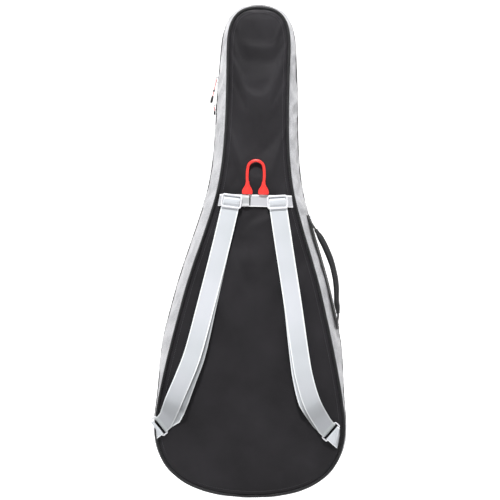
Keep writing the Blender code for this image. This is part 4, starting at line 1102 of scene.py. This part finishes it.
def strap(side):
    """Strap, returning layer, tri-glide with its webbing, ring and tab of one side."""
    inward = 1 if side == "left" else -1
    lean = np.array([math.cos(STRAP_END_SLOPE), 0, -inward * math.sin(STRAP_END_SLOPE)])
    up = np.array([inward * math.sin(STRAP_END_SLOPE), 0, math.cos(STRAP_END_SLOPE)])
    back = BACKWARD
    body, ring_body = f"strap_{side}", f"strap_ring_{side}"
    centre = middle_of(f"strap_ring_{side}")
    upper_wire, lower_wire = centre + up * RING_HEIGHT / 2, centre - up * RING_HEIGHT / 2
    fold = RING_WIRE + 0.0006 + WEBBING / 2
    route = STRAP_ROUTES[side]

    lying = in_frame(catmull([on_back(*point) for point in route], 12))
    height = lying[:, 2] - BAG_Z
    stand = 0.0150 * smoothstep(0.50, 0.26, height) * smoothstep(0.168, 0.205, height)
    lying = lying + back * stand[:, None]
    start = upper_wire + back * fold
    path = np.vstack([lying[:-1], lying[-1] * 0.55 + start * 0.45])
    path = np.vstack([path, catmull([path[-2], path[-1], start], 5)[6:]])
    along = np.gradient(path, axis=0)
    level = unit(np.stack([-along[:, 2], 0 * along[:, 2], along[:, 0]], 1))
    level *= np.sign(level[:, :1])
    share = 1 - smoothstep(route[-1][1] - 0.01, route[-1][1] + 0.06, path[:, 2] - BAG_Z)[:, None]
    across = unit(level * (1 - share) + lean * share)
    normal = unit(np.cross(np.gradient(path, axis=0), across))
    normal *= np.sign(-normal[:, 1:2])
    twist = 0.10 * inward * np.sin(math.pi * smoothstep(0.45, 0.19, path[:, 2] - BAG_Z))
    turned = across * np.cos(twist)[:, None] + normal * np.sin(twist)[:, None]
    normal = normal * np.cos(twist)[:, None] - across * np.sin(twist)[:, None]
    sections = [web_section(STRAP_WIDTH, WEBBING, 15, curl) for curl in
                -0.0006 - 0.0010 * smoothstep(0.35, 0.20, path[:, 2] - BAG_Z)]
    cut = len(path) - 5  # the last points belong to the fold round the ring
    piece = sweep(f"strap_{side}_web", path[: cut + 1], turned[: cut + 1], normal[: cut + 1],
                  sections[: cut + 1], "strap")
    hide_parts(f"shoulder_strap_{side}")
    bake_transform(piece)

    bend = [upper_wire + back * fold * math.cos(a) - up * fold * math.sin(a)
            for a in np.linspace(0, math.pi, 11)[1:]]
    round_ring = np.vstack([path[cut:], bend, bend[-1] + up * 0.006, bend[-1] + up * 0.013])
    fold_normal = unit(np.cross(np.gradient(round_ring, axis=0), lean))
    fold_side = np.vstack([turned[cut : cut + 5][: len(path) - cut], np.repeat(lean[None], len(bend) + 2, 0)])
    # the fold round the ring takes the darker, shaded copy of the strap look: painted shade
    loop = sweep(f"strap_{side}_fold", round_ring, fold_side, fold_normal,
                 web_section(STRAP_WIDTH * 0.995, WEBBING, 11), "strap_end")
    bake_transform(loop)

    tail_end = int(np.argmax(height < TAIL_TOP))
    picks = np.arange(len(lying) - 4, tail_end, -1)
    shift = np.interp(height[picks], TAIL_HEIGHTS, TAIL_SHIFT[side])
    tail = [np.array(in_frame(on_back(lying[k][0] + inward * s, height[k], TAIL_LIFT + 0.0006)))
            + back * stand[k] * 0.85 for k, s in zip(picks, shift)]
    tail = np.vstack([bend[-1] + up * 0.010, *tail])
    tail = np.vstack([tail[:1], catmull(tail[1:], 1)])
    tail_side = np.vstack([lean, across[picks]])
    tail_normal = unit(np.cross(np.gradient(tail, axis=0), tail_side))
    tail_normal *= np.sign(-tail_normal[:, 1:2])
    # the left returning layer's look carries a painted shadow, the right one's painted shade
    layer = sweep(f"strap_{side}_return", tail, tail_side, tail_normal,
                  web_section(HALF_TAIL * 2, WEBBING, 11),
                  "strap_under" if side == "left" else "strap_over")
    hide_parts(f"strap_tail_{side}")
    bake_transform(layer)

    # ring: a rounded rectangle of wire
    wire = np.array([centre + lean * a + up * c for a, c in
                     rounded_frame(RING_LENGTH / 2, RING_HEIGHT / 2, 0.0026, 7)])
    ring_side, ring_normal = frames_along(wire, (0, 1, 0), closed=True)
    ring = sweep(f"ring_{side}", wire, ring_side, ring_normal, round_section(RING_WIRE + 0.0002, 12),
                 "gray_plastic", closed=True)
    declare(ring, ring_body, [f"strap_ring_{side}"])

    # tab: webbing out of the slanting seam, so it is short at the outer edge and long at the inner one
    rows = []
    reaches = np.linspace(0.0032, 0.0320, 60)
    for v in np.linspace(-0.5, 0.5, 13) * STRAP_WIDTH * 0.97:
        wire_at = lower_wire + lean * v
        spots = wire_at - up * reaches[:, None]
        free = np.abs(spots[:, 0]) < half_width(spots[:, 2] - BAG_Z, TAB_SEAM[side])
        length = reaches[free][-1] if free.any() else reaches[0]
        foot_x, _, foot_z = wire_at - up * length
        over = in_frame(on_back(foot_x, foot_z - BAG_Z, 0.0024))[1]
        halfway = wire_at - up * length * 0.5
        rows.append([np.array([foot_x, over - 0.0012, foot_z]), halfway + back * fold * 0.8,
                     *(wire_at + back * fold * math.cos(a) + up * fold * math.sin(a)
                       for a in np.linspace(0, math.pi, 9)),
                     halfway - back * fold * 0.6, np.array([foot_x, over + 0.0006, foot_z])])
    tab = grid(f"ring_tab_{side}", np.array(rows), "strap", np.arange(13) * 0.001,
               np.concatenate([[0, 0.008], 0.016 + 0.001 * np.arange(9), [0.030, 0.038]]))
    layer = tab.data.uv_layers[0]
    for corner in tab.data.loops:
        from_wire = np.array(tab.data.vertices[corner.vertex_index].co) - lower_wire
        layer.data[corner.index].uv = (from_wire @ up, from_wire @ lean)
    thicken(tab, 0.0013, 0)
    face_out(tab)
    declare(tab, "back_half", [f"strap_tab_{side}"])

    triglide(side, unit(across[3]))


def join_pieces(target, *others):
    """One mesh from several."""
    bm = bmesh.new()
    for piece in (target, *others):
        bm.from_mesh(piece.data)
    bm.to_mesh(target.data)
    bm.free()
    for piece in others:
        bpy.data.objects.remove(piece, do_unlink=True)
    return target


WRAP_WIDTH, WRAP_THICKNESS = 0.0335, 0.0015


def triglide(side, along_x):
    """A moulded frame with a middle bar, and the webbing that wraps the bar and shows through it."""
    place = middle_of(f"triglide_{side}")
    x = unit(along_x + RIGHTWARD)
    y = unit(BACKWARD - x * (BACKWARD @ x))
    z = np.cross(x, y)
    if z[2] < 0:
        z = -z

    def spot(a, out, c):
        return place + x * a + y * out + z * c

    outline = rounded_frame(TRIGLIDE_WIDTH / 2 - 0.0017, TRIGLIDE_LENGTH / 2 - 0.0019, 0.0042)
    wire = np.array([spot(a, 0.0026, c) for a, c in outline])
    sides, normals = frames_along(wire, y, closed=True)
    frame_piece = sweep(f"buckle_{side}", wire, sides, normals, plump_section(0.0040, 0.0028, 3.2, 16),
                        "gray_plastic", closed=True)
    half_bar = 0.0200
    bar_line = [spot(a, -0.0016 + 0.0030 * abs(a / half_bar) ** 6, 0.0)
                for a in np.linspace(-half_bar, half_bar, 17)]
    middle = sweep(f"buckle_bar_{side}", bar_line, z, y, plump_section(0.0046, 0.0022, 3, 14), "gray_plastic")
    join_pieces(frame_piece, middle)
    declare(frame_piece, f"triglide_{side}", [f"triglide_{side}"])

    wrap = [(0.0010, -0.0112), (0.0022, -0.0078), (0.0040, -0.0050), (0.0047, 0.0), (0.0042, 0.0046),
            (0.0026, 0.0068), (0.0010, 0.0074)]
    line = catmull([spot(0, out, c) for out, c in wrap], 4)
    wrap_normal = unit(np.cross(np.gradient(line, axis=0), x))
    wrap_piece = sweep(f"buckle_webbing_{side}", line, x, wrap_normal,
                       web_section(WRAP_WIDTH, WRAP_THICKNESS, 13), "strap")
    declare(wrap_piece, f"triglide_{side}")


for side in ("left", "right"):
    strap(side)

# ---------------------------------------------------------------- hang loop

LOOP_Y = -BAG_Y
LEAF_FOOT = BAR_LOW + BAR_HEIGHT + 0.0006
leaf_top = LEAF_FOOT + LEAF_HEIGHT
arch_centre = LOOP_APEX + LOOP_CORD_RADIUS - LOOP_HALF_SPACING
arch = [(-LOOP_HALF_SPACING, LOOP_Y, leaf_top - 0.004),
        (-LOOP_HALF_SPACING - 0.001, LOOP_Y, (leaf_top + arch_centre) / 2)]
arch += [(LOOP_HALF_SPACING * math.cos(a), LOOP_Y, arch_centre + LOOP_HALF_SPACING * math.sin(a))
         for a in np.linspace(math.pi, 0, 9)]
arch += [(-x, y, h) for x, y, h in arch[1::-1]]
arch_path = in_frame(catmull(arch, 7))
arch_side, arch_normal = frames_along(arch_path, (0, 1, 0))
seamed = round_section(LOOP_CORD_RADIUS - 0.0003, 18)
declare(sweep("loop_cord", arch_path, arch_side, arch_normal, seamed, "coral"), "hang_loop",
        ["hang_loop_cord"])

# each leaf as (height, width, thickness), as shares of its length, its width and the cord's swell
LEAF_PROFILE = np.array([
    (0, 0.86, 0.45), (0.06, 0.97, 0.62), (0.16, 1.02, 0.70), (0.30, 1.00, 0.72), (0.45, 0.88, 0.72),
    (0.58, 0.72, 0.76), (0.70, 0.55, 0.86), (0.80, 0.44, 1.0), (0.90, 0.38, 1.08), (1.0, 0.35, 1.12),
    (1.12, 0.33, 1.05)])
for label, sign in (("left", -1), ("right", 1)):
    leaf_path = in_frame(catmull([(sign * LOOP_HALF_SPACING, LOOP_Y, LEAF_FOOT + share * LEAF_HEIGHT)
                                  for share in LEAF_PROFILE[:, 0]], 3))
    fine = sample(np.linspace(0, 10, len(leaf_path)), range(11), LEAF_PROFILE)
    sections = [plump_section(LEAF_WIDTH * w, 0.0010 + 0.0050 * t, 2.3, 22) for _, w, t in fine]
    declare(sweep(f"loop_leaf_{label}", leaf_path, RIGHTWARD, INWARD, sections, "coral"), "hang_loop",
            [f"hang_loop_leaf_{label}"])

# ---------------------------------------------------------------- side handle

GRIP_STEPS, GRIP_SIDES = 48, 24
GRIP_WIDTH, GRIP_THICKNESS = 0.0250, 0.0120
STRIP_PROUD = 0.0026  # the base strip's middle, from the wall


def on_side(h, lift, low=0.0305, high=0.0495):
    """A frame point on the right side wall, the way across the wall, and its normal."""
    right = OUTLINE[: FOOT + 1]
    spots = []
    for y in (low, high):
        edge = right + NORMAL[: FOOT + 1] * skin(y)[: FOOT + 1][:, None]
        heights = (h, h - 0.01, h + 0.01)
        x = np.interp(heights, edge[::-1, 1], edge[::-1, 0])
        spots.append([np.array([xi, y, hi]) for xi, hi in zip(x, heights)])
    (inner, inner_down, inner_up), (outer, _, _) = spots
    across = unit(outer - inner)
    along = unit(inner_down - inner_up)
    normal = unit(np.cross(along, across))
    normal = normal if normal[0] > 0 else -normal
    spot = inner + (outer - inner) * (HANDLE_Y - low) / (high - low) + normal * lift
    return in_frame(spot), across, normal


strip = [on_side(h, STRIP_PROUD) for h in np.linspace(HANDLE_HIGH + 0.032, HANDLE_LOW - 0.032, 60)]
strip_path, strip_across, strip_normal = (np.array(a) for a in zip(*strip))
base = sweep("handle_base", strip_path, strip_across, strip_normal, web_section(0.0254, 0.0020, 11),
             "webbing_black")
declare(base, "back_half", ["handle_base_strip"])
for label, offset in (("inner", -0.0105), ("outer", 0.0105)):
    row = strip_path + strip_across * offset + strip_normal * 0.0013
    declare(stitches(f"handle_base_stitches_{label}", row, strip_normal), "back_half")

grip_share = np.linspace(0, 1, GRIP_STEPS + 1)
grip_lift = 0.0100 + (HANDLE_STANDOFF - 0.0055 - 0.0100) * np.sin(math.pi * grip_share) ** 0.8
grip_lift += np.interp(grip_share, (0, 0.2, 0.37, 0.61, 0.85, 1), (0, 0.0032, 0.0044, 0.0026, -0.0012, 0))
grip_spots = [on_side(HANDLE_HIGH + (HANDLE_LOW - HANDLE_HIGH) * share, lift)
              for share, lift in zip(grip_share, grip_lift)]
grip_path, grip_across, _ = (np.array(a) for a in zip(*grip_spots))
grip_across = unit(grip_across * 0.4 + INWARD * 0.6)
grip_normal = unit(np.cross(np.gradient(grip_path, axis=0), grip_across))
grip_normal *= np.sign(grip_normal[:, :1])
swell = np.minimum(1, 3.2 * np.sin(math.pi * np.clip(grip_share, 0.03, 0.97)))
grip = sweep("grip", grip_path, grip_across, grip_normal,
             [plump_section(GRIP_WIDTH * (0.60 + 0.40 * share), GRIP_THICKNESS * (0.52 + 0.48 * share), 2.5,
                            GRIP_SIDES) for share in swell], "webbing_black", smooth_angle=0)
grip_ends = [k for k in range(len(grip.data.vertices))
             if min(k // GRIP_SIDES, GRIP_STEPS - k // GRIP_SIDES) < 2]
drape(grip, grip_ends, 2.0, 0.0007, slack=0.01, frames=10, gravity=0)
declare(grip, "handle", ["handle_grip"])
for label, offset in (("inner", -0.0107), ("outer", 0.0107)):
    keep = slice(5, GRIP_STEPS - 4)
    line = grip_path[keep] + grip_across[keep] * offset + grip_normal[keep] * 0.0034
    declare(stitches(f"grip_stitches_{label}", line, grip_normal[keep]), "handle")

for label, end, beyond, foot_height, sign in (("upper", 0, 3, HANDLE_HIGH + 0.024, 1),
                                             ("lower", -1, -4, HANDLE_LOW - 0.024, -1)):
    away = unit(grip_path[end] - grip_path[beyond])
    foot, way, out = on_side(foot_height, 0.0042)
    mid, _, _ = on_side(foot_height - sign * 0.008, 0.0050)
    line = catmull([grip_path[end] - away * 0.004, grip_path[end] + away * 0.0060, mid, foot], 6)
    tab_normal = unit(np.cross(np.gradient(line, axis=0), way))
    widths = np.interp(np.linspace(0, 3, len(line)), range(4), [0.0150, 0.0168, 0.0200, 0.0210])
    end_piece = sweep(f"grip_end_{label}", line, way, tab_normal, [web_section(w, 0.0021, 9) for w in widths],
                      "webbing_black")
    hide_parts(f"handle_end_{label}")
    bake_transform(end_piece)
    box = box_seam((-0.0085, 0.0085), (-0.004, 0.006))[:6]
    down = unit(strip_path[-1] - strip_path[0])
    row = resample([foot + way * a - down * b * sign + out * 0.0012 for a, b in box], 60)
    declare(stitches(f"grip_end_stitches_{label}", row, out, "thread", 0.003, 0.0022), "back_half")

# ---------------------------------------------------------------- zipper sliders and pulls


SLIDER_LENGTH, SLIDER_PLATE = 0.0130, 0.0026
PULL_WIDTH, PULL_CORD_RADIUS, RIB_RADIUS, RIB_PITCH = 0.0096, 0.0010, 0.00045, 0.0015
LONG_GRIP, SHORT_GRIP, BEADED = 0.0150, 0.0090, 0.012  # a pull longer than BEADED has a bead
GRIP_PROFILE = ((-0.5, 0.50), (-0.46, 0.66), (-0.36, 0.72), (-0.2, 0.78), (-0.1, 0.84), (0.1, 0.92),
                (0.3, 0.98), (0.42, 0.94), (0.48, 0.80), (0.5, 0.62))  # (share of its length, width)


def slider(name, node, across, out, body, side_wide):
    """A cast slider: a waisted top plate, a raised bridge and a pull loop."""
    across, out = unit(across), unit(out)
    run = np.cross(across, out)
    place = middle_of(node) - out * 0.0024
    widths = side_wide * np.array([0.66, 0.84, 0.96, 1.0, 0.98, 0.94, 0.88, 0.80, 0.62])
    spine_line = [place + run * s * SLIDER_LENGTH for s in np.linspace(-0.5, 0.5, 9)]
    plate = sweep(name, spine_line, across, out,
                  [plump_section(w, SLIDER_PLATE, 3.2, 20) for w in widths], "slider")
    arc = [(-0.0052, 0.0008), (-0.0050, 0.0034), (-0.0028, 0.0052)]
    arc += [(-a, b) for a, b in arc[::-1]]
    line = catmull([place + run * a + out * b for a, b in arc], 5)
    normal = unit(np.cross(np.gradient(line, axis=0), across))
    bridge = sweep(name + "_bridge", line, across, normal, plump_section(0.0024, 0.0014, 3, 10), "slider")
    join_pieces(plate, bridge)
    declare(plate, body, [node])
    return place + out * 0.0040


def pull(label, eye, out, length=LONG_GRIP):
    """Two strands of cord through the slider's loop and a moulded grip; a long pull has a toggle bead too."""
    body, grip_node = f"{label}_pull", f"{label}_pull_grip"
    grip_at = middle_of(grip_node)
    side = unit(np.cross(out, UPWARD))
    down = unit(grip_at - eye)
    reach = np.linalg.norm(grip_at - eye) - length / 2 + 0.0010
    normal = unit(np.cross(side, down))
    strand = ((1.0, 0.0020), (0.7, 0.0014), (0.4, 0.0022), (0.15, 0.0026), (0.02, 0.0012))
    one, other = ([eye + down * reach * t + side * sign * w for t, w in strand] for sign in (-1, 1))
    line = catmull(one + other[::-1], 8)
    line_side, line_normal = frames_along(line, normal)
    cord = sweep(f"{label}_strands", line, line_side, line_normal, round_section(PULL_CORD_RADIUS, 10),
                 "pull_cord")
    declare(cord, body, [f"{label}_pull_cord"])
    if length > BEADED:
        bead_line = [eye + down * (reach * 0.66 + t) for t in np.linspace(-0.0024, 0.0024, 7)]
        bead = sweep(f"{label}_bead", bead_line, side, normal,
                     [plump_section(0.0066 * w, 0.0040 * w, 2.6, 16) for w in (0.6, 0.9, 1, 1, 1, 0.9, 0.6)],
                     "black_plastic")
        declare(bead, body)
    thick = 0.0052 if length > BEADED else 0.0036
    grip_piece = sweep(f"{label}_grip", [grip_at + down * s * length for s, _ in GRIP_PROFILE], side, normal,
                       [plump_section(PULL_WIDTH * w, thick * (0.7 + 0.3 * w), 2.8, 20)
                        for _, w in GRIP_PROFILE], "black_plastic")
    ribs = []
    for k, face in itertools.product((-1, 0, 1, 2), (-1, 1)):
        rib_line = [grip_at + down * (RIB_PITCH * k) + side * w + normal * (thick / 2 - 0.0002) * face
                    for w in np.linspace(-0.0036, 0.0036, 7)]
        ribs.append(sweep(f"{label}_rib_{k}", rib_line, down, normal, round_section(RIB_RADIUS, 8),
                          "black_plastic"))
    join_pieces(grip_piece, *ribs)
    declare(grip_piece, body, [grip_node])


for label, length in (("upper_zip", LONG_GRIP), ("lower_zip", SHORT_GRIP)):
    height = middle_of(f"{label}_slider")[2] - BAG_Z
    out = side_normals[LEFT_SIDE[np.argmin(np.abs(OUTLINE[LEFT_SIDE, 1] - height))]]
    eye = slider(f"{label}_slide", f"{label}_slider", INWARD, out, f"{label}_slider", 0.0096)
    pull(label, eye, out, length)

# ---------------------------------------------------------------- pockets on the lid


POCKET_CROWN = 0.005


def pocket_outline(low, high, inset, corner, count):
    rows = []
    for h in low + (high - low) * (0.5 + 0.5 * np.cos(np.linspace(0, math.pi, 61))):
        short = max(0, corner - min(high - h, h - low))
        cut = corner - math.sqrt(corner * corner - short * short)
        rows.append((float(half_width(h, -inset, 0.75)) - cut, h))
    right = np.array(rows)
    across = np.linspace(1, -1, 25)[1:-1]
    foot = np.array([(right[-1, 0] * s, right[-1, 1]) for s in across])
    head = np.array([(-right[0, 0] * s, right[0, 1]) for s in across])
    loop = np.vstack([right, foot, right[::-1] * (-1, 1), head])
    return resample(loop, count, closed=True)


def pocket(label, low, high, inset, depth, corner):
    """A puffed panel on a low gusset, a piped edge between them, and a zipper with its slider across."""
    count = 240
    edge = pocket_outline(low, high, inset, corner, count)
    tangent = unit(np.roll(edge, -1, 0) - np.roll(edge, 1, 0))
    normal = np.stack([-tangent[:, 1], tangent[:, 0]], 1)
    length = arc_length(np.vstack([edge, edge[:1]]))
    top = FRONT_Y + FRONT_CROWN + depth

    gusset = []
    floor = front_surface(edge[:, 0], edge[:, 1])
    heights = np.linspace(0, 1, 9)
    for t in heights:
        y = (floor + 0.0002) * (1 - t) + (top - 0.0006) * t
        spots = np.stack([length[:-1], np.full(count, t)], 1)
        bow = 0.0012 * math.sin(math.pi * t) + 0.0006 * ripple(spots, 0.05, 81)
        spot = edge + normal * (bow * math.sin(math.pi * t) ** 0.5)[:, None] if t not in (0, 1) else edge
        gusset.append(in_frame(np.stack([spot[:, 0], y, spot[:, 1]], 1)))
    wall = grid(f"{label}_gusset", np.stack(gusset, 1), "heather", length, heights * depth, closed=True)
    declare(wall, "lid", [f"{label}_wall"])

    middle_low, middle_high = low + (high - low) * 0.3, high - (high - low) * 0.3
    flat = fan(edge - normal * 0.0014, middle_low, middle_high, 12)
    x, h = flat[..., 0], flat[..., 1]
    share = np.linspace(0, 1, 13)[None] ** 0.9
    crown = crown_at(x, half_width(h, -inset, 0.75), POCKET_CROWN)
    relief = 0.0012 * ripple(flat, 0.09, 91) + 0.0006 * ripple(flat, 0.035, 93)
    y = top + crown + 0.0012 + (1 - share**6) * relief
    face = grid(f"{label}_face", in_frame(np.stack([x, y, h], -1)), "heather", x, h, closed=True,
                flip=True)
    weld(face)
    drape(face, edge_points(face), 0.8, 0.0022, slack=0.015, frames=14, gravity=0.4)
    subdivide(face)
    declare(face, "lid", [f"{label}_panel"])

    bead = in_frame(np.stack([edge[:, 0], np.full(count, top + 0.0006), edge[:, 1]], 1))
    bead = resample(bead, 700, closed=True)
    side, up = frames_along(bead, INWARD, closed=True)
    trim = sweep(f"{label}_binding", bead, side, up, round_section(0.0021, 10), "piping", closed=True,
                 smooth_angle=0)
    declare(trim, "lid")

    zip_h = high - corner - 0.006
    reach = float(half_width(zip_h, -inset, 0.75)) - 0.012
    xs = np.linspace(-reach, reach, 61)
    surface = top + crown_at(xs, reach + 0.012, POCKET_CROWN) + 0.0032
    line = in_frame(np.stack([xs, surface, np.full(61, zip_h)], 1))
    tape = sweep(f"{label}_zip_tape", line, UPWARD, INWARD, web_section(0.0160, 0.0012, 11, edge=0.2),
                 "grosgrain")
    places = np.arange(-reach + 0.004, reach - 0.004, 0.0027)
    spots = sample(places, line[:, 0], line) + (0, 0.0008, 0)
    spots[::2, 2] += 0.0009
    spots[1::2, 2] -= 0.0009
    shape, faces = pill(0.0042, 0.0021, 0.0019)
    axes = np.broadcast_to(np.stack([UPWARD, RIGHTWARD, INWARD]), (len(places), 3, 3))
    teeth = template_copies(f"{label}_zip_teeth", shape, faces, spots, axes, "coil")
    face_out(teeth)
    declare(teeth, "lid")
    declare(tape, "lid", [f"{label}_zip"])
    for name, offset in (("upper", 0.0066), ("lower", -0.0066)):
        declare(stitches(f"{label}_zip_stitches_{name}", line + (0, 0.0009, offset), INWARD), "lid")
    eye = slider(f"{label}_slide", f"{label}_slider", UPWARD, INWARD, f"{label}_slider", 0.0094)
    pull(label, eye, INWARD)


pocket("large_pocket", 0.075, 0.455, 0.030, 0.024, 0.028)
pocket("head_pocket", 0.700, 0.935, 0.016, 0.012, 0.018)

# ---------------------------------------------------------------- inside the bag


PAD_SHRINK, PAD_VOXEL = 0.0012, 0.005


def swollen(name, node, look, pressure, cap):
    """A CAD block made into an upholstered pad: remeshed, blown up as cloth and smoothed."""
    mesh = frame["nodes"][node].data.copy()
    piece = bpy.data.objects.new(name, mesh)
    bpy.context.scene.collection.objects.link(piece)
    middle = Vector(middle_of(node))
    for vertex in mesh.vertices:
        vertex.co += (middle - vertex.co).normalized() * PAD_SHRINK
    remesh = piece.modifiers.new("remesh", "REMESH")
    remesh.mode, remesh.voxel_size = "VOXEL", PAD_VOXEL
    apply_modifiers(piece)
    mesh = piece.data
    mesh.materials.clear()
    mesh.materials.append(LOOK[look])
    drape(piece, [], pressure, cap, slack=0.0, frames=14, gravity=0, stiffness=15)
    smooth = piece.modifiers.new("smooth", "SMOOTH")
    smooth.factor, smooth.iterations = 0.5, 3
    apply_modifiers(piece)
    subdivide(piece)
    mesh = piece.data
    layer = mesh.uv_layers.new(name="UVMap")
    for polygon in mesh.polygons:
        drop = max(range(3), key=lambda k: abs(polygon.normal[k]))
        for corner in polygon.loop_indices:
            spot = mesh.vertices[mesh.loops[corner].vertex_index].co
            layer.data[corner].uv = [spot[k] for k in range(3) if k != drop]
    mesh.shade_smooth()
    return piece


cradle = swollen("cradle_pad", "neck_cradle", "plush", 2.5, 0.002)
declare(cradle, "back_half", ["neck_cradle"])

CRADLE_TOP, NECK_STRAP_LEVEL, NECK_STRAP_WIDTH = 0.0400, 0.805, 0.0380
strap_arch = [(-0.050, CRADLE_TOP + 0.0016), (-0.046, 0.060), (-0.026, 0.0735)]
strap_arch += [(0, 0.0760), *((-x, y) for x, y in strap_arch[::-1])]
arch_line = in_frame(catmull([(x, y, NECK_STRAP_LEVEL) for x, y in strap_arch], 8))
band_out = unit(np.cross(UPWARD, np.gradient(arch_line, axis=0)))
neck_strap = sweep("neck_band", arch_line, UPWARD, -band_out, web_section(NECK_STRAP_WIDTH, 0.0018, 11),
                   "webbing_black")
declare(neck_strap, "neck_strap", ["neck_strap"])
for name, offset in (("upper", 0.016), ("lower", -0.016)):
    declare(stitches(f"neck_band_stitches_{name}", arch_line + UPWARD * offset + band_out * 0.0011, band_out),
            "neck_strap")

PATCH_ROWS = np.arange(FOOT - 26, FOOT + 27)
patch_depths = np.linspace(0.022, 0.071, 9)
patch_rows = [shell(skin(y) - LINING_INSET - 0.0024, y)[PATCH_ROWS] for y in patch_depths]
patch = grid("foot_patch", np.stack(patch_rows, 1), "nylon", TRACK[PATCH_ROWS], patch_depths, flip=True)
thicken(patch, 0.0012, 0)
declare(patch, "back_half", ["endpin_patch"])

# ---------------------------------------------------------------- floor and backdrop


def stage_piece(name, profile, half, emission):
    """A pale sheet, endless across, along this (y, z) profile."""
    mesh = bpy.data.meshes.new(name)
    rows = catmull([(y, z, 0) for y, z in profile], 6)
    mesh.from_pydata([(x, y, z) for y, z, _ in rows for x in (-half, half)], [],
                     [(2 * k, 2 * k + 1, 2 * k + 3, 2 * k + 2) for k in range(len(rows) - 1)])
    mesh.shade_smooth()
    piece = bpy.data.objects.new(name, mesh)
    paint = bpy.data.materials.new("look_" + name)
    paint.use_nodes = True
    shader = paint.node_tree.nodes["Principled BSDF"]
    shader.inputs["Base Color"].default_value = (0.94, 0.94, 0.94, 1)
    shader.inputs["Roughness"].default_value = 0.9
    shader.inputs["Emission Color"].default_value = (1, 1, 1, 1)
    shader.inputs["Emission Strength"].default_value = emission
    mesh.materials.append(paint)
    bpy.context.scene.collection.objects.link(piece)


FLOOR_Z, FLOOR_EDGE, HALF_STAGE = -0.7085, 0.005, 30.0
stage_piece("floor", [(y, FLOOR_Z) for y in (-9.0, -4.0, FLOOR_EDGE)], HALF_STAGE, 0.0)
stage_piece("backdrop", [*((y, FLOOR_Z) for y in (FLOOR_EDGE, 4.0, 9.0)), (11.0, 0.6), (11.6, 3.0),
                         (12.0, 12.0)], HALF_STAGE, 0.9)
